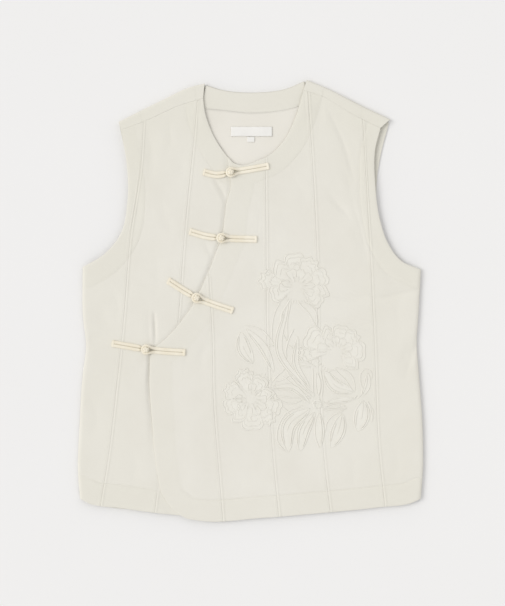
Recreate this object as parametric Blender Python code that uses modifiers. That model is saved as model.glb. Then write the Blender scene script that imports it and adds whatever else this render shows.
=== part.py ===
"""An embroidered waistcoat with four frog fastenings, laid flat on its back.

Metres in Blender, millimetres in the tables. +Y runs to the neck, +Z is up, and the origin is under the
middle of the garment. Left and right are the wearer's, so the wearer's left is +X.
"""

import math

import bmesh
import bpy
import numpy as np

MM = 0.001

# Driving sizes, in millimetres.
WALL = 1.5  # shell cloth with its backing
THIN_WALL = 1.0  # facing, lining, label and tab
GAP = 0.3  # between pieces that touch, across a seam and between layers
TOP = 6.5  # outer face of the fronts above the surface under the back
SIDE_ROLL = 8.0  # width of the rounded side
SIDE_LIP = 0.4  # upright end of each wall at the side seam
EDGE_DROP = 1.1  # how far a turned edge rounds down
EDGE_REACH = 7.0  # over this width
EDGE_SHARE = 0.42  # and over no more than this share of a panel
SIDE_DROP = TOP / 2 - GAP / 2  # from each outer face to the side seam
OPENING_DROP = 0.4
UNDER_DIP = 1.7  # how far the right front sinks under the left front
OVER_LIFT = 0.6  # how far the left front stands up over the right front
DIP_WIDTH = 18.0
DIP_BEFORE = 3.0  # where the dip is full, before the opening edge
LIFT_FROM, LIFT_TO = 45.0, 75.0
ROW_STEP = 21.0  # spacing of the sections along a panel
LOOP_STEPS = 12  # points that a smooth curve gets between two rows of a table

# Outlines, each row a point x, y. Sides and seams run up from the hem.
SIDE_R = ((-227, -264), (-230, -226), (-228, -173), (-223.5, -99), (-219, -59.5), (-223, -24), (-223.5, 44))
SIDE_L = ((227, -264), (230, -219), (229.5, -173), (224, -93), (221.5, -57), (223.5, -24), (227, 41))
ARMHOLE_R = ((-223.5, 44), (-195, 61), (-173.5, 87), (-163.5, 133), (-164.5, 180), (-172, 226.5))
ARMHOLE_L = ((227, 41), (200, 53), (183, 76), (172, 109), (166, 156), (166, 200), (173, 229))
BACK_ARMHOLE_R = ((-223.5, 44), (-194, 60), (-172.5, 87), (-162.5, 133), (-164.5, 180), (-175.5, 237.5))
BACK_ARMHOLE_L = ((227, 41), (199, 53), (182, 76), (171, 109), (168.5, 160), (173.5, 193), (186, 241))
HEM_R = ((-227, -264), (-216, -270), (-174, -276.5), (-127, -283), (-78, -288))
HEM_L = ((-104, -278), (-87, -289.5), (-67, -293.5), (13, -290), (92, -283.5), (172, -275.5), (215, -269.5),
         (227, -264))
BACK_HEM = ((-227, -264), (-216, -269), (-127, -281), (0, -287), (127, -278.5), (215, -268.5), (227, -264))
OPENING = ((-104, -278), (-119, -255), (-122.5, -239), (-131, -159), (-134, -93), (-131, -67), (-113.5, -52),
           (-84.5, -18), (-56.5, 36), (-44.5, 67), (-39, 80), (-34, 113.5), (-32, 129), (-26, 152),
           (-29, 176), (-30, 190.5))
UNDER_EDGE = ((-80, -287.5), (-86, -159), (-87, -106), (-60, -53), (-25, 14), (2, 83), (7, 133), (2, 163))
NECK_R = ((2, 163), (-8, 171), (-20, 178), (-30, 190.5), (-39, 202), (-52.5, 226.5), (-61, 253), (-63, 268.5))
NECK_L = ((-30, 190.5), (-21, 182), (-14, 180), (15, 188), (20, 190), (43, 210.5), (60.5, 245), (70.5, 279.5))
BACK_NECK = ((-61, 287.5), (-38, 280.5), (7, 277), (46, 281.5), (75, 293.5))
FOLD_R = ((-175.5, 237.5), (-120.5, 265), (-76.5, 285), (-61, 288.5))  # top of the right shoulder
FOLD_L = ((75, 293.5), (99, 283.5), (152, 257), (186, 241))
SHOULDER_R = ((-172, 226.5), (-142, 237.5), (-94, 259), (-63, 268.5))  # seam of front and back
SHOULDER_L = ((70.5, 279.5), (96.5, 271), (132.5, 249.5), (173, 229))

# Seams of the fronts, each row a point x, y, from the hem up.
SEAMS = {
    "right_side": ((-199.5, -272.5), (-188, -202), (-179, -125), (-168, -20), (-160, 81.5), (-145.5, 180),
                   (-142, 237.5)),
    "right_mid": ((-127.5, -283), (-122, -240), (-96, -26), (-86.5, 100), (-74.5, 220), (-70.5, 266.5)),
    "left_edge": ((-36.5, -292), (-43, -212), (-49, -133), (-51, -40), (-55, 33)),
    "left_centre": ((38, -288.5), (30.5, -212), (22.5, -66), (21, 93.5), (20, 190)),
    "left_inner": ((106.5, -282), (98.5, -215), (90.5, -66), (89, 51), (83, 180), (76.5, 278)),
    "left_mid": ((179, -274.5), (171, -199), (166, -79.5), (160, 51), (154.5, 153), (149.5, 240)),
    "back_right_side": ((-178, -274), (-166, -60), (-150, 150), (-147, 252)),
    "back_right_mid": ((-88, -284), (-72, -60), (-72, 200), (-74, 283)),
    "back_left_mid": ((103, -281), (87, -60), (92, 200), (97, 281)),
    "back_left_side": ((180, -273), (168, -60), (152, 150), (148, 255)),
}
# Where the back's seams cross the shoulder seam, x.
BACK_SEAM_FRONT_X = {
    "back_right_side": -144.5, "back_right_mid": -73, "back_left_mid": 96, "back_left_side": 147,
}

# Largest folds: start x, y, middle x, y, end x, y, half-width, height (a trough is negative).
FOLDS = (
    (-131, -18, -131, -40, -129, -60, 6, -1.1),
    (-47, 161, -39, 145, -34, 131, 6, -0.7),
    (104, 256, 123, 206, 138, 146, 8, -1.4),
    (116, 252, 136, 206, 149, 150, 8, 0.9),
    (98, 147, 119, 122, 140, 100, 8, -0.8),
    (140, 93, 150, 73, 156, 51, 8, -0.7),
    (95, 260, 92, 246, 91, 233, 6, -0.7),
    (220, -56, 211, -69, 204, -89, 8, -1.1),
    (-217, -60, -205, -52, -190, -48, 8, -1.0),
    (-203, -15, -195, -24, -186, -34, 8, -0.8),
    (-99, 193, -93, 183, -87, 173, 9, -0.6),
    (-136, 226, -132, 197, -132, 166, 8, -0.8),
    (92, 4, 125, 1, 158, 3, 8, -0.4),
    (-146, -88, -140, -80, -134, -73, 6, -0.7),
    (-66, 262, -64, 248, -57, 230, 11, 1.2),
    (75, 272, 69, 252, 60, 232, 11, 1.0),
)

# Frogs: end of the knot arm, its middle, the knot, the loop arm's middle and its end, x, y each.
FROGS = (
    ((-62.5, 170.5), (-44, 170), (-26, 170), (0, 174), (24.5, 178.5)),
    ((-81, 91.5), (-58, 85), (-38.5, 82.5), (-16, 81.5), (8.5, 81)),
    ((-109.5, 26.5), (-90, 14), (-71.5, 3), (-47, -6), (-23, -14)),
    ((-184, -57.5), (-161, -61.5), (-138.5, -65.5), (-112, -68), (-86.5, -69.5)),
)
STRAP = ((-4.5, 0), (-5, 1.8), (-3.9, 3.4), (-1.6, 3.5), (0, 2.3), (1.6, 3.5), (3.9, 3.4), (5, 1.8), (4.5, 0))
STRAP_WIDTH = 10.0
TURNED_END = 4.0  # length of the turned-back end
TURNED_SCALE = 1.1
NECK_WIDE, NECK_HIGH = 0.5, 0.28  # the knot arm under the loop, as shares of the strap
KNOT_RADIUS, KNOT_RISE, KNOT_HEIGHT = 4.8, 7.2, 3.4
SHANK_RADIUS = 1.8
LOOP_RADIUS, LOOP_CORD, LOOP_RISE = 3.9, 1.6, 2.9

# Blossoms: middle x, y, then a row for each petal: its direction in degrees, reach and half-angle.
BLOSSOMS = {
    "blossom_top": (62, 18, ((167, 52, 16), (198, 38, 20), (133, 45, 24), (96, 45, 18), (60, 43, 22),
                             (22, 43, 18), (-12, 44, 20), (-36, 40, 14))),
    "blossom_side": (115, -68, ((183, 52, 13), (152, 48, 22), (118, 38, 20), (80, 35, 20), (42, 36, 22),
                                (0, 38, 22), (-38, 36, 20))),
    "blossom_low": (0, -131, ((106, 41, 20), (62, 33, 22), (16, 33, 20), (-20, 43, 16), (-48, 44, 16),
                              (-86, 42, 22), (235, 39, 20), (200, 38, 18), (157, 38, 20))),
    "stem_joint": (89, -138, ((90, 6, 60), (210, 6, 60), (330, 6, 60))),
}
BLOSSOM_HEART = 0.55  # of the mean reach: the rim where no petal reaches
BLOSSOM_SECTORS = 48
PETAL_TIP = 0.3  # the lower, the blunter a petal
# Relief of a blossom from its middle to its rim: share of the reach, height.
BLOSSOM_RELIEF = ((0.12, 1.4), (0.35, 1.0), (0.75, 1.5), (1.0, 0.8))
# Leaves, stems and buds: name, root x, y, tip x, y, sideways bow, half-width.
LEAVES = (
    ("leaf_tall", 76, -120, 50, -4, 26, 4.5),
    ("leaf_inner", 79, -117, 63, -48, 11.5, 4),
    ("leaf_long", 31, -95, -6, -38, -5, 5.5),
    ("leaf_upright", 3, -84, -13, -43, 4, 9),
    ("leaf_flat", 79, -137, 24, -117, -11, 4),
    ("leaf_low", 79, -144, 50, -202, -15, 9.5),
    ("leaf_hanging", 85, -149, 66, -201, -5, 8),
    ("bud_small", 91, -150, 92, -196, 0, 6),
    ("bud_long", 122, -151, 107, -196, 2, 9),
    ("bud_open", 150, -134, 142, -174, 2, 10),
    ("stem_side", 98, -137, 140, -131, 2, 2.5),
    ("stem_up", 90, -127, 88, -96, -1, 3),
    ("sepal", 136, -122, 98, -95, 7, 8.5),
    ("leaf_curled", 148, -128, 156, -97, -3, 4),
)
LEAF_STATIONS = 8
LEAF_HEIGHT = 1.2
LABEL = (1.5, 224.5, 55.0, 13.0)  # middle x, y, length, width
TAB = (0.5, 214.0, 10.0, 7.0)

# Linear colours and roughness.
MATERIALS = {
    "cloth": ((0.77, 0.75, 0.68, 1), 0.85),
    "lining": ((0.80, 0.79, 0.74, 1), 0.6),
    "label": ((0.88, 0.88, 0.86, 1), 0.7),
    "cord": ((0.86, 0.82, 0.70, 1), 0.6),
    "thread": ((0.80, 0.77, 0.66, 1), 0.5),
}


# Curves.


def curve(rows):
    """Dense points of a smooth curve through the rows of a table."""
    points = np.array(rows, float)
    chords = np.linalg.norm(np.diff(points, axis=0), axis=1)[:, None]
    slopes = np.diff(points, axis=0) / chords
    inner = (slopes[:-1] * chords[1:] + slopes[1:] * chords[:-1]) / (chords[1:] + chords[:-1])
    tangents = np.vstack([slopes[:1], inner, slopes[-1:]])
    t = np.arange(LOOP_STEPS)[:, None] / LOOP_STEPS
    pieces = []
    for start, end, leave, arrive, chord in zip(points, points[1:], tangents, tangents[1:], chords):
        pieces.append(
            (2 * t**3 - 3 * t**2 + 1) * start
            + (t**3 - 2 * t**2 + t) * chord * leave
            + (3 * t**2 - 2 * t**3) * end
            + (t**3 - t**2) * chord * arrive
        )
    return np.vstack(pieces + [points[-1:]])


def at(path, share):
    """Points at these shares of a path's length."""
    steps = np.linalg.norm(np.diff(path, axis=0), axis=1)
    length = np.concatenate([[0], np.cumsum(steps)])
    place = np.asarray(share) * length[-1]
    return np.stack([np.interp(place, length, path[:, axis]) for axis in (0, 1)], axis=-1)


def length_of(path):
    return np.linalg.norm(np.diff(path, axis=0), axis=1).sum()


def y_on(path, x):
    """Height of a path that runs across, at x."""
    order = np.argsort(path[:, 0])
    return np.interp(x, path[order, 0], path[order, 1])


def x_on(path, y):
    """Place of a path that runs up, at y."""
    order = np.argsort(path[:, 1])
    return np.interp(y, path[order, 1], path[order, 0])


def across(path, start, end):
    """The stretch of a path that runs across, between two x."""
    x = np.linspace(start, end, 4 * LOOP_STEPS)
    return np.stack([x, y_on(path, x)], axis=-1)


def upward(path, start, end):
    """The stretch of a path that runs up, between two y."""
    y = np.linspace(start, end, 4 * LOOP_STEPS)
    return np.stack([x_on(path, y), y], axis=-1)


def seam(name, side, bottom, top=None):
    """One edge of a seam, half the gap to its side, from the bottom path to the top path."""
    path = curve(SEAMS[name]) + [side * GAP / 2, 0]
    path[0, 1] = y_on(bottom, path[0, 0])
    if top is not None:
        path[-1, 1] = y_on(top, path[-1, 0])
    return path


# Heights of the fronts' outer face.


def soft_step(t):
    t = np.clip(t, 0, 1)
    return t * t * (3 - 2 * t)


def folds_at(x, y):
    """Height that the folds add at these places."""
    total = np.zeros(np.shape(x))
    share = np.linspace(0, 1, 17)
    for start_x, start_y, mid_x, mid_y, end_x, end_y, half_width, height in FOLDS:
        line = curve(((start_x, start_y), (mid_x, mid_y), (end_x, end_y)))
        near = at(line, share)
        away = np.hypot(x[..., None] - near[:, 0], y[..., None] - near[:, 1])
        taper = 0.35 + 0.65 * np.sin(math.pi * share)
        total += height * (taper * np.exp(-((away / half_width) ** 2))).max(axis=-1)
    return total


def past_opening(x, y):
    """How far a place is past the opening edge, onto the left front."""
    return x - x_on(curve(OPENING), y)


def under_height(x, y):
    past = past_opening(x, y)
    dip = soft_step(1 + (past + DIP_BEFORE) / DIP_WIDTH)
    return TOP + (1 - dip) * folds_at(x, y) - UNDER_DIP * dip


def over_height(x, y):
    past = past_opening(x, y)
    stand = OVER_LIFT * (1 - soft_step((past - LIFT_FROM) / (LIFT_TO - LIFT_FROM)))
    height = TOP + stand + folds_at(x, y)
    least = TOP - UNDER_DIP + WALL + GAP
    return np.where(past < LIFT_FROM, np.maximum(height, least), height)


def front_height(x, y):
    return TOP + folds_at(x, y)


def rounding(distance, reach):
    """Share of a rounded edge's drop at this distance from the edge."""
    t = np.clip(1 - distance / np.maximum(reach, 1e-6), 0, 1)
    return 1 - np.sqrt(1 - t * t)


# Grids of points.


def rows_along(length, corner=None, near=(EDGE_REACH / 3, EDGE_REACH)):
    """Shares of a panel's length for its sections, closer at the hem and with one at a corner."""
    marks = [0] + [step / length for step in near]
    ends = [marks[-1]] + ([corner] if corner else []) + [1]
    for start, end in zip(ends, ends[1:]):
        count = max(2, round((end - start) * length / ROW_STEP))
        marks += list(np.linspace(start, end, count + 1)[1:])
    return np.array(marks)


def edge_columns(reach, width, drop):
    """Distances from a rounded edge.

    The side's roll ends in an upright lip, which lies flat round the armhole.
    """
    near = min(reach, EDGE_SHARE * width)
    if reach != SIDE_ROLL:
        return np.array([0, near / 3, near])
    lip = SIDE_LIP * (1 - drop / SIDE_DROP)
    return np.array([0, lip, near * (1 - math.sin(math.radians(60))), near / 2, near])


def columns_across(width, count, edges, row_share):
    """Distances from the left of one section, closer together at the edges that round down."""
    left, right = np.array([0]), np.array([width])
    if "left" in edges:
        reach, shares, drops = edges["left"]
        left = edge_columns(reach, width, np.interp(row_share, shares, drops))
    if "right" in edges:
        reach, shares, drops = edges["right"]
        right = width - edge_columns(reach, width, np.interp(row_share, shares, drops))[::-1]
    middle = np.linspace(left[-1], right[0], count + 1)[1:-1]
    return np.concatenate([left, middle, right])


def patch(left, right, bottom, top, rows, columns):
    """Points of a panel between its four edges.

    columns gives a section's distances from its width and share.
    """
    left_at, right_at = at(left, rows), at(right, rows)
    width = np.linalg.norm(right_at - left_at, axis=1)
    distance = np.array([columns(wide, row) for wide, row in zip(width, rows)])
    u = (distance / width[:, None])[..., None]
    v = rows[:, None, None]
    corners = (
        (1 - u) * (1 - v) * bottom[0] + u * (1 - v) * bottom[-1] + (1 - u) * v * top[0] + u * v * top[-1]
    )
    spread = (1 - v) * at(bottom, u[..., 0]) + v * at(top, u[..., 0])
    points = spread + (1 - u) * left_at[:, None] + u * right_at[:, None] - corners
    return points, distance, width


def drop_at(rows, distance, width, edges):
    """How far the rounded edges sink each point of a patch."""
    sunk = np.zeros(distance.shape)
    for side, (reach, shares, drops) in edges.items():
        away = distance if side == "left" else width[:, None] - distance
        size = np.interp(rows, shares, drops)[:, None]
        here = rounding(away, np.minimum(reach, EDGE_SHARE * width)[:, None])
        if reach == SIDE_ROLL:
            here = here * (1 - SIDE_LIP / SIDE_DROP)
            here[:, 0 if side == "left" else -1] = 1
        sunk = np.maximum(sunk, size * here)
    return sunk


# Meshes.


def collection(name, hidden=False):
    made = bpy.data.collections.new(name)
    bpy.context.scene.collection.children.link(made)
    made.hide_render = hidden
    return made


def add_object(name, points, faces, material, where):
    mesh = bpy.data.meshes.new(name)
    mesh.from_pydata([tuple(MM * value for value in point) for point in points], [], faces)
    mesh.validate()
    obj = bpy.data.objects.new(name, mesh)
    where.objects.link(obj)
    mesh.materials.append(bpy.data.materials[material])
    mesh.shade_smooth()
    return obj


def grid_faces(index, upward=True):
    """Quads of a grid of vertex numbers."""
    faces = []
    for low, high in zip(index, index[1:]):
        for quad in zip(low, low[1:], high[1:], high):
            if len(set(quad)) == 4 and min(quad) >= 0:
                faces.append(quad if upward else quad[::-1])
    return faces


def shell(name, points, faces, material, where, wall=WALL):
    """An open surface, thickened inwards from its outer face."""
    obj = add_object(name, points, faces, material, where)
    thicken = obj.modifiers.new("wall", "SOLIDIFY")
    thicken.thickness = wall * MM
    thicken.offset = -1
    thicken.use_even_offset = True
    return obj


def sheet(name, grid, material, where, wall=WALL, upward=True):
    rows, columns = grid.shape[:2]
    index = np.arange(rows * columns).reshape(rows, columns).tolist()
    return shell(name, grid.reshape(-1, 3), grid_faces(index, upward), material, where, wall)


def lofted(name, rings, poles, material, where):
    """A closed body through rings of points, closed by a point at each end."""
    count = len(rings[0])
    points = [poles[0]] + [tuple(p) for ring in rings for p in ring] + [poles[1]]
    last = len(points) - 1
    faces = []
    for k in range(count):
        after = (k + 1) % count
        faces.append((0, 1 + after, 1 + k))
        faces.append((last, last - count + k, last - count + after))
        for ring in range(len(rings) - 1):
            base = 1 + ring * count
            faces.append((base + k, base + after, base + count + after, base + count + k))
    obj = add_object(name, points, faces, material, where)
    work = bmesh.new()
    work.from_mesh(obj.data)
    bmesh.ops.recalc_face_normals(work, faces=work.faces)
    work.to_mesh(obj.data)
    work.free()
    return obj


# Front panels.


def front_panel(name, left, right, bottom, top, height, count, where, edges=None, corner=None):
    """A panel of a front, as a wall under its outer face."""
    edges = edges or {}
    rows = rows_along(length_of(left), corner)
    points, distance, width = patch(
        left, right, bottom, top, rows, lambda wide, row: columns_across(wide, count, edges, row)
    )
    x, y = points[..., 0], points[..., 1]
    sunk = drop_at(rows, distance, width, edges)
    hem = EDGE_DROP * rounding(rows * length_of(left), EDGE_REACH)
    at_side = np.clip(1 - sunk / SIDE_DROP, 0, 1)
    z = np.where(sunk > EDGE_DROP, TOP + at_side * (height(x, y) - TOP), height(x, y))
    z = z - np.maximum(sunk, hem[:, None])
    return sheet(name, np.dstack([points, z]), "cloth", where)


def side_and_armhole(side, armhole):
    """The outer edge of a side panel, and the share of it at which the side seam ends."""
    side, armhole = curve(side), curve(armhole)
    path = np.vstack([side, armhole[1:]])
    return path, length_of(side) / length_of(path)


def side_drops(corner):
    """Along the outer edge: full drop at the side seam, a turned edge round the armhole, none at its top."""
    shares = (0, corner - 0.05, corner, corner + 0.05, 0.9, 1)
    return shares, (SIDE_DROP, SIDE_DROP, SIDE_DROP - GAP / 2, EDGE_DROP, EDGE_DROP, 0)


def build_right_front(where):
    hem, shoulder = curve(HEM_R), curve(SHOULDER_R) - [0, GAP / 2]
    outer, corner = side_and_armhole(SIDE_R, ARMHOLE_R)
    outer[-1] = shoulder[0]
    inner = seam("right_side", -1, hem, shoulder)
    front_panel(
        "front_right_side", outer, inner, across(hem, outer[0, 0], inner[0, 0]),
        across(shoulder, outer[-1, 0], inner[-1, 0]), front_height, 3, where,
        {"left": (SIDE_ROLL, *side_drops(corner))}, corner,
    )
    left, right = seam("right_side", 1, hem, shoulder), seam("right_mid", -1, hem, shoulder)
    front_panel(
        "front_right_mid", left, right, across(hem, left[0, 0], right[0, 0]),
        across(shoulder, left[-1, 0], right[-1, 0]), under_height, 6, where,
    )
    left = seam("right_mid", 1, hem, shoulder)
    under = curve(UNDER_EDGE)
    under[0, 1] = y_on(hem, under[0, 0])
    right = np.vstack([under, curve(NECK_R)[1:]])
    right[-1] = shoulder[-1]
    corner = length_of(under) / length_of(right)
    front_panel(
        "front_right_under", left, right, across(hem, left[0, 0], right[0, 0]),
        across(shoulder, left[-1, 0], right[-1, 0]), under_height, 5, where,
        {"right": (EDGE_REACH, (0, corner + 0.09, corner + 0.13, 0.95, 1), (0, 0, EDGE_DROP, EDGE_DROP, 0))},
        corner,
    )


def build_left_front(where):
    hem, shoulder = curve(HEM_L), curve(SHOULDER_L) - [0, GAP / 2]
    neck, opening = curve(NECK_L), curve(OPENING)
    edge_top = SEAMS["left_edge"][-1][1]

    right = seam("left_edge", -1, hem)
    left = upward(opening, HEM_L[0][1], edge_top)
    left[0] = hem[0]
    front_panel(
        "front_left_edge", left, right, across(hem, left[0, 0], right[0, 0]),
        np.array([left[-1], right[-1]]), over_height, 3, where,
        {"left": (EDGE_REACH, (0, 0.97, 1), (OPENING_DROP, OPENING_DROP, 0))},
    )
    low = seam("left_edge", 1, hem)
    free = upward(opening, edge_top + 4, NECK_L[0][1])
    left, right = np.vstack([low, free]), seam("left_centre", -1, hem, neck)
    corner = length_of(low) / length_of(left)
    left[-1] = neck[0]
    front_panel(
        "front_left_centre", left, right, across(hem, left[0, 0], right[0, 0]),
        across(neck, left[-1, 0], right[-1, 0]), over_height, 4, where,
        {"left": (EDGE_REACH, (0, corner, corner + 0.04, 1), (0, 0, OPENING_DROP, OPENING_DROP))}, corner,
    )
    low = seam("left_centre", 1, hem, neck)
    left = np.vstack([low, across(neck, low[-1, 0] + 1, shoulder[0, 0])])
    left[-1] = shoulder[0]
    corner = length_of(low) / length_of(left)
    right = seam("left_inner", -1, hem, shoulder)
    front_panel(
        "front_left_inner", left, right, across(hem, left[0, 0], right[0, 0]),
        across(shoulder, left[-1, 0], right[-1, 0]), over_height, 4, where,
        {"left": (EDGE_REACH, (0, corner, corner + 0.04, 0.95, 1), (0, 0, EDGE_DROP, EDGE_DROP, 0))}, corner,
    )
    left, right = seam("left_inner", 1, hem, shoulder), seam("left_mid", -1, hem, shoulder)
    front_panel(
        "front_left_mid", left, right, across(hem, left[0, 0], right[0, 0]),
        across(shoulder, left[-1, 0], right[-1, 0]), over_height, 5, where,
    )
    outer, corner = side_and_armhole(SIDE_L, ARMHOLE_L)
    outer[-1] = shoulder[-1]
    inner = seam("left_mid", 1, hem, shoulder)
    front_panel(
        "front_left_side", inner, outer, across(hem, inner[0, 0], outer[0, 0]),
        across(shoulder, inner[-1, 0], outer[-1, 0]), over_height, 3, where,
        {"right": (SIDE_ROLL, *side_drops(corner))}, corner,
    )


# Back panels, which roll over the shoulder and come down to the shoulder seam.

ROLL_RADIUS = TOP / 2
ROLL_ANGLES = (-45, 0, 45, 90)


def shoulder_lines(fold, shoulder, fold_ends, shoulder_ends, share):
    """Where the roll leaves the flat, its way outward and the seam that it comes down to, for each column."""
    fold_x = np.interp(share, (0, 1), fold_ends)
    shoulder_x = np.interp(share, (0, 1), shoulder_ends)
    ridge = np.stack([fold_x, y_on(fold, fold_x)], axis=-1)
    end = np.stack([shoulder_x, y_on(shoulder, shoulder_x) + GAP / 2], axis=-1)
    outward = (ridge - end) / np.linalg.norm(ridge - end, axis=1)[:, None]
    return ridge - ROLL_RADIUS * outward, outward, end


def shoulder_rows(centre, outward, end):
    """Rows of points over the roll and down the front to the shoulder seam."""
    rows = []
    for angle in np.radians(ROLL_ANGLES):
        flat = centre + ROLL_RADIUS * math.cos(angle) * outward
        raised = front_height(flat[:, 0], flat[:, 1]) - TOP
        z = ROLL_RADIUS + (ROLL_RADIUS + (raised if angle > 0 else 0)) * math.sin(angle)
        rows.append(np.column_stack([flat, np.broadcast_to(z, len(flat))]))
    for share in (0.5, 1):
        flat = centre + share * (end - centre)
        rows.append(np.column_stack([flat, front_height(flat[:, 0], flat[:, 1])]))
    return rows


def back_panel(
    name, left, right, hem, fold, shoulder, fold_ends, shoulder_ends, where, count, edges=None, corner=None
):
    """A back panel with its shoulder. Its outer face lies on the surface below."""
    edges = edges or {}
    share = np.linspace(0, 1, 4 * LOOP_STEPS)
    centre, _, _ = shoulder_lines(fold, shoulder, fold_ends, shoulder_ends, share)
    left, right = left.copy(), right.copy()
    left[-1], right[-1] = centre[0], centre[-1]
    rows = rows_along(length_of(left), corner, near=())
    bottom = across(hem, left[0, 0], right[0, 0])
    points, distance, width = patch(
        left, right, bottom, centre, rows, lambda wide, row: columns_across(wide, count, edges, row)
    )
    rise = drop_at(rows, distance, width, edges)
    grid = [np.column_stack([xy, z]) for xy, z in zip(points, rise)]
    centre, outward, end = shoulder_lines(fold, shoulder, fold_ends, shoulder_ends, distance[-1] / width[-1])
    grid[-1] = np.column_stack([centre, np.zeros(len(centre))])
    grid += shoulder_rows(centre, outward, end)
    return sheet(name, np.array(grid), "cloth", where, upward=False)


def build_back(where):
    hem = curve(BACK_HEM)
    fold_r, fold_l = curve(FOLD_R), curve(FOLD_L)
    shoulder_r, shoulder_l = curve(SHOULDER_R), curve(SHOULDER_L)
    half = GAP / 2

    def seam_x(name):
        return SEAMS[name][-1][0], BACK_SEAM_FRONT_X[name]

    rising = (SIDE_DROP, SIDE_DROP, 0, 0)
    outer, corner = side_and_armhole(SIDE_R, BACK_ARMHOLE_R)
    fold_x, front_x = seam_x("back_right_side")
    back_panel(
        "back_right_side", outer, seam("back_right_side", -1, hem), hem, fold_r, shoulder_r,
        (outer[-1, 0], fold_x - half), (SHOULDER_R[0][0], front_x - half), where, 2,
        {"left": (SIDE_ROLL, (0, corner, corner + 0.05, 1), rising)}, corner,
    )
    mid_fold_x, mid_front_x = seam_x("back_right_mid")
    back_panel(
        "back_right_mid", seam("back_right_side", 1, hem), seam("back_right_mid", -1, hem), hem, fold_r,
        shoulder_r, (fold_x + half, mid_fold_x - half), (front_x + half, mid_front_x - half), where, 5,
    )
    outer, corner = side_and_armhole(SIDE_L, BACK_ARMHOLE_L)
    fold_x, front_x = seam_x("back_left_side")
    back_panel(
        "back_left_side", seam("back_left_side", 1, hem), outer, hem, fold_l, shoulder_l,
        (fold_x + half, outer[-1, 0]), (front_x + half, SHOULDER_L[-1][0]), where, 2,
        {"right": (SIDE_ROLL, (0, corner, corner + 0.05, 1), rising)}, corner,
    )
    mid_fold_x, mid_front_x = seam_x("back_left_mid")
    back_panel(
        "back_left_mid", seam("back_left_mid", 1, hem), seam("back_left_side", -1, hem), hem, fold_l,
        shoulder_l, (mid_fold_x + half, fold_x - half), (mid_front_x + half, front_x - half), where, 5,
    )
    build_back_centre(hem, fold_r, fold_l, shoulder_r, shoulder_l, where)


def build_back_centre(hem, fold_r, fold_l, shoulder_r, shoulder_l, where):
    """The centre of the back, with a strip each side of the neck that goes over the shoulder."""
    half = GAP / 2
    right_x, left_x = SEAMS["back_right_mid"][-1][0] + half, SEAMS["back_left_mid"][-1][0] - half
    right_front = BACK_SEAM_FRONT_X["back_right_mid"] + half
    left_front = BACK_SEAM_FRONT_X["back_left_mid"] - half
    share = (0, 0.5, 1)
    right_strip = shoulder_lines(
        fold_r, shoulder_r, (right_x, FOLD_R[-1][0]), (right_front, SHOULDER_R[-1][0]), share
    )
    left_strip = shoulder_lines(
        fold_l, shoulder_l, (FOLD_L[0][0], left_x), (SHOULDER_L[0][0], left_front), share
    )
    neck = at(curve(BACK_NECK), np.linspace(0, 1, 9))[1:-1]
    top = np.vstack([right_strip[0], neck, left_strip[0]])
    left, right = seam("back_right_mid", 1, hem), seam("back_left_mid", -1, hem)
    left[-1], right[-1] = top[0], top[-1]
    steps = np.concatenate([[0], np.cumsum(np.linalg.norm(np.diff(top, axis=0), axis=1))])
    shares = steps / steps[-1]
    rows = rows_along(length_of(left), near=())
    bottom = across(hem, left[0, 0], right[0, 0])
    points, _, _ = patch(left, right, bottom, top, rows, lambda wide, row: shares * wide)
    grid = [np.column_stack([xy, np.zeros(len(xy))]) for xy in points]
    index = [list(range(k * len(top), (k + 1) * len(top))) for k in range(len(grid))]
    vertices = np.vstack(grid)
    faces = grid_faces(index, upward=False)
    for strip, columns in ((right_strip, index[-1][:3]), (left_strip, index[-1][-3:])):
        rows_over = shoulder_rows(*strip)
        numbers = np.arange(3 * len(rows_over)).reshape(-1, 3) + len(vertices)
        faces += grid_faces([columns] + numbers.tolist(), upward=False)
        vertices = np.vstack([vertices] + rows_over)
    shell("back_centre", vertices, faces, "cloth", where)


# Inside of the back neck.

INNER_TOP = WALL + GAP + THIN_WALL  # upper face of the facing and of the lining
FACING_LOW = ((-68, 255.7), (-40.5, 253.5), (7, 249.5), (46, 253.5), (79, 262))
FACING_TOP_INSET = 1.0
FACING_TOP_X = (-59.5, 72.0)
LINING_LOW = ((-75, 150), (0, 145), (95, 150))


def build_inside(where):
    low, neck = curve(FACING_LOW), curve(BACK_NECK) - [0, FACING_TOP_INSET]
    top = across(neck, *FACING_TOP_X)
    left, right = np.array([low[0] + [0, GAP / 2], top[0]]), np.array([low[-1] + [0, GAP / 2], top[-1]])

    def even(wide, row):
        return np.linspace(0, wide, 10)

    points, _, _ = patch(left, right, low + [0, GAP / 2], top, np.linspace(0, 1, 3), even)
    flat = np.dstack([points, np.full(points.shape[:2], INNER_TOP)])
    sheet("back_neck_facing", flat, "cloth", where, THIN_WALL)

    high, low = curve(FACING_LOW) - [0, GAP / 2], curve(LINING_LOW)
    left, right = np.array([low[0], high[0]]), np.array([low[-1], high[-1]])
    points, _, _ = patch(left, right, low, high, np.linspace(0, 1, 5), even)
    flat = np.dstack([points, np.full(points.shape[:2], INNER_TOP)])
    sheet("back_lining", flat, "lining", where, THIN_WALL)

    for name, (x, y, long, wide) in (("neck_label", LABEL), ("size_tab", TAB)):
        bpy.ops.mesh.primitive_cube_add(size=1)
        obj = bpy.context.object
        obj.name = obj.data.name = name
        obj.scale = (long * MM, wide * MM, THIN_WALL * MM)
        obj.location = (x * MM, y * MM, (INNER_TOP + GAP + THIN_WALL / 2) * MM)
        obj.data.materials.append(bpy.data.materials["label"])
        move_to(obj, where)


def move_to(obj, where):
    for old in list(obj.users_collection):
        old.objects.unlink(obj)
    where.objects.link(obj)


# Frogs.


def surface_under(x, y):
    """The upper face of whichever front shows."""
    past = past_opening(x, y)
    rise = soft_step((past + 22) / 16)
    return (1 - rise) * front_height(x, y) + rise * over_height(x, y)


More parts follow.
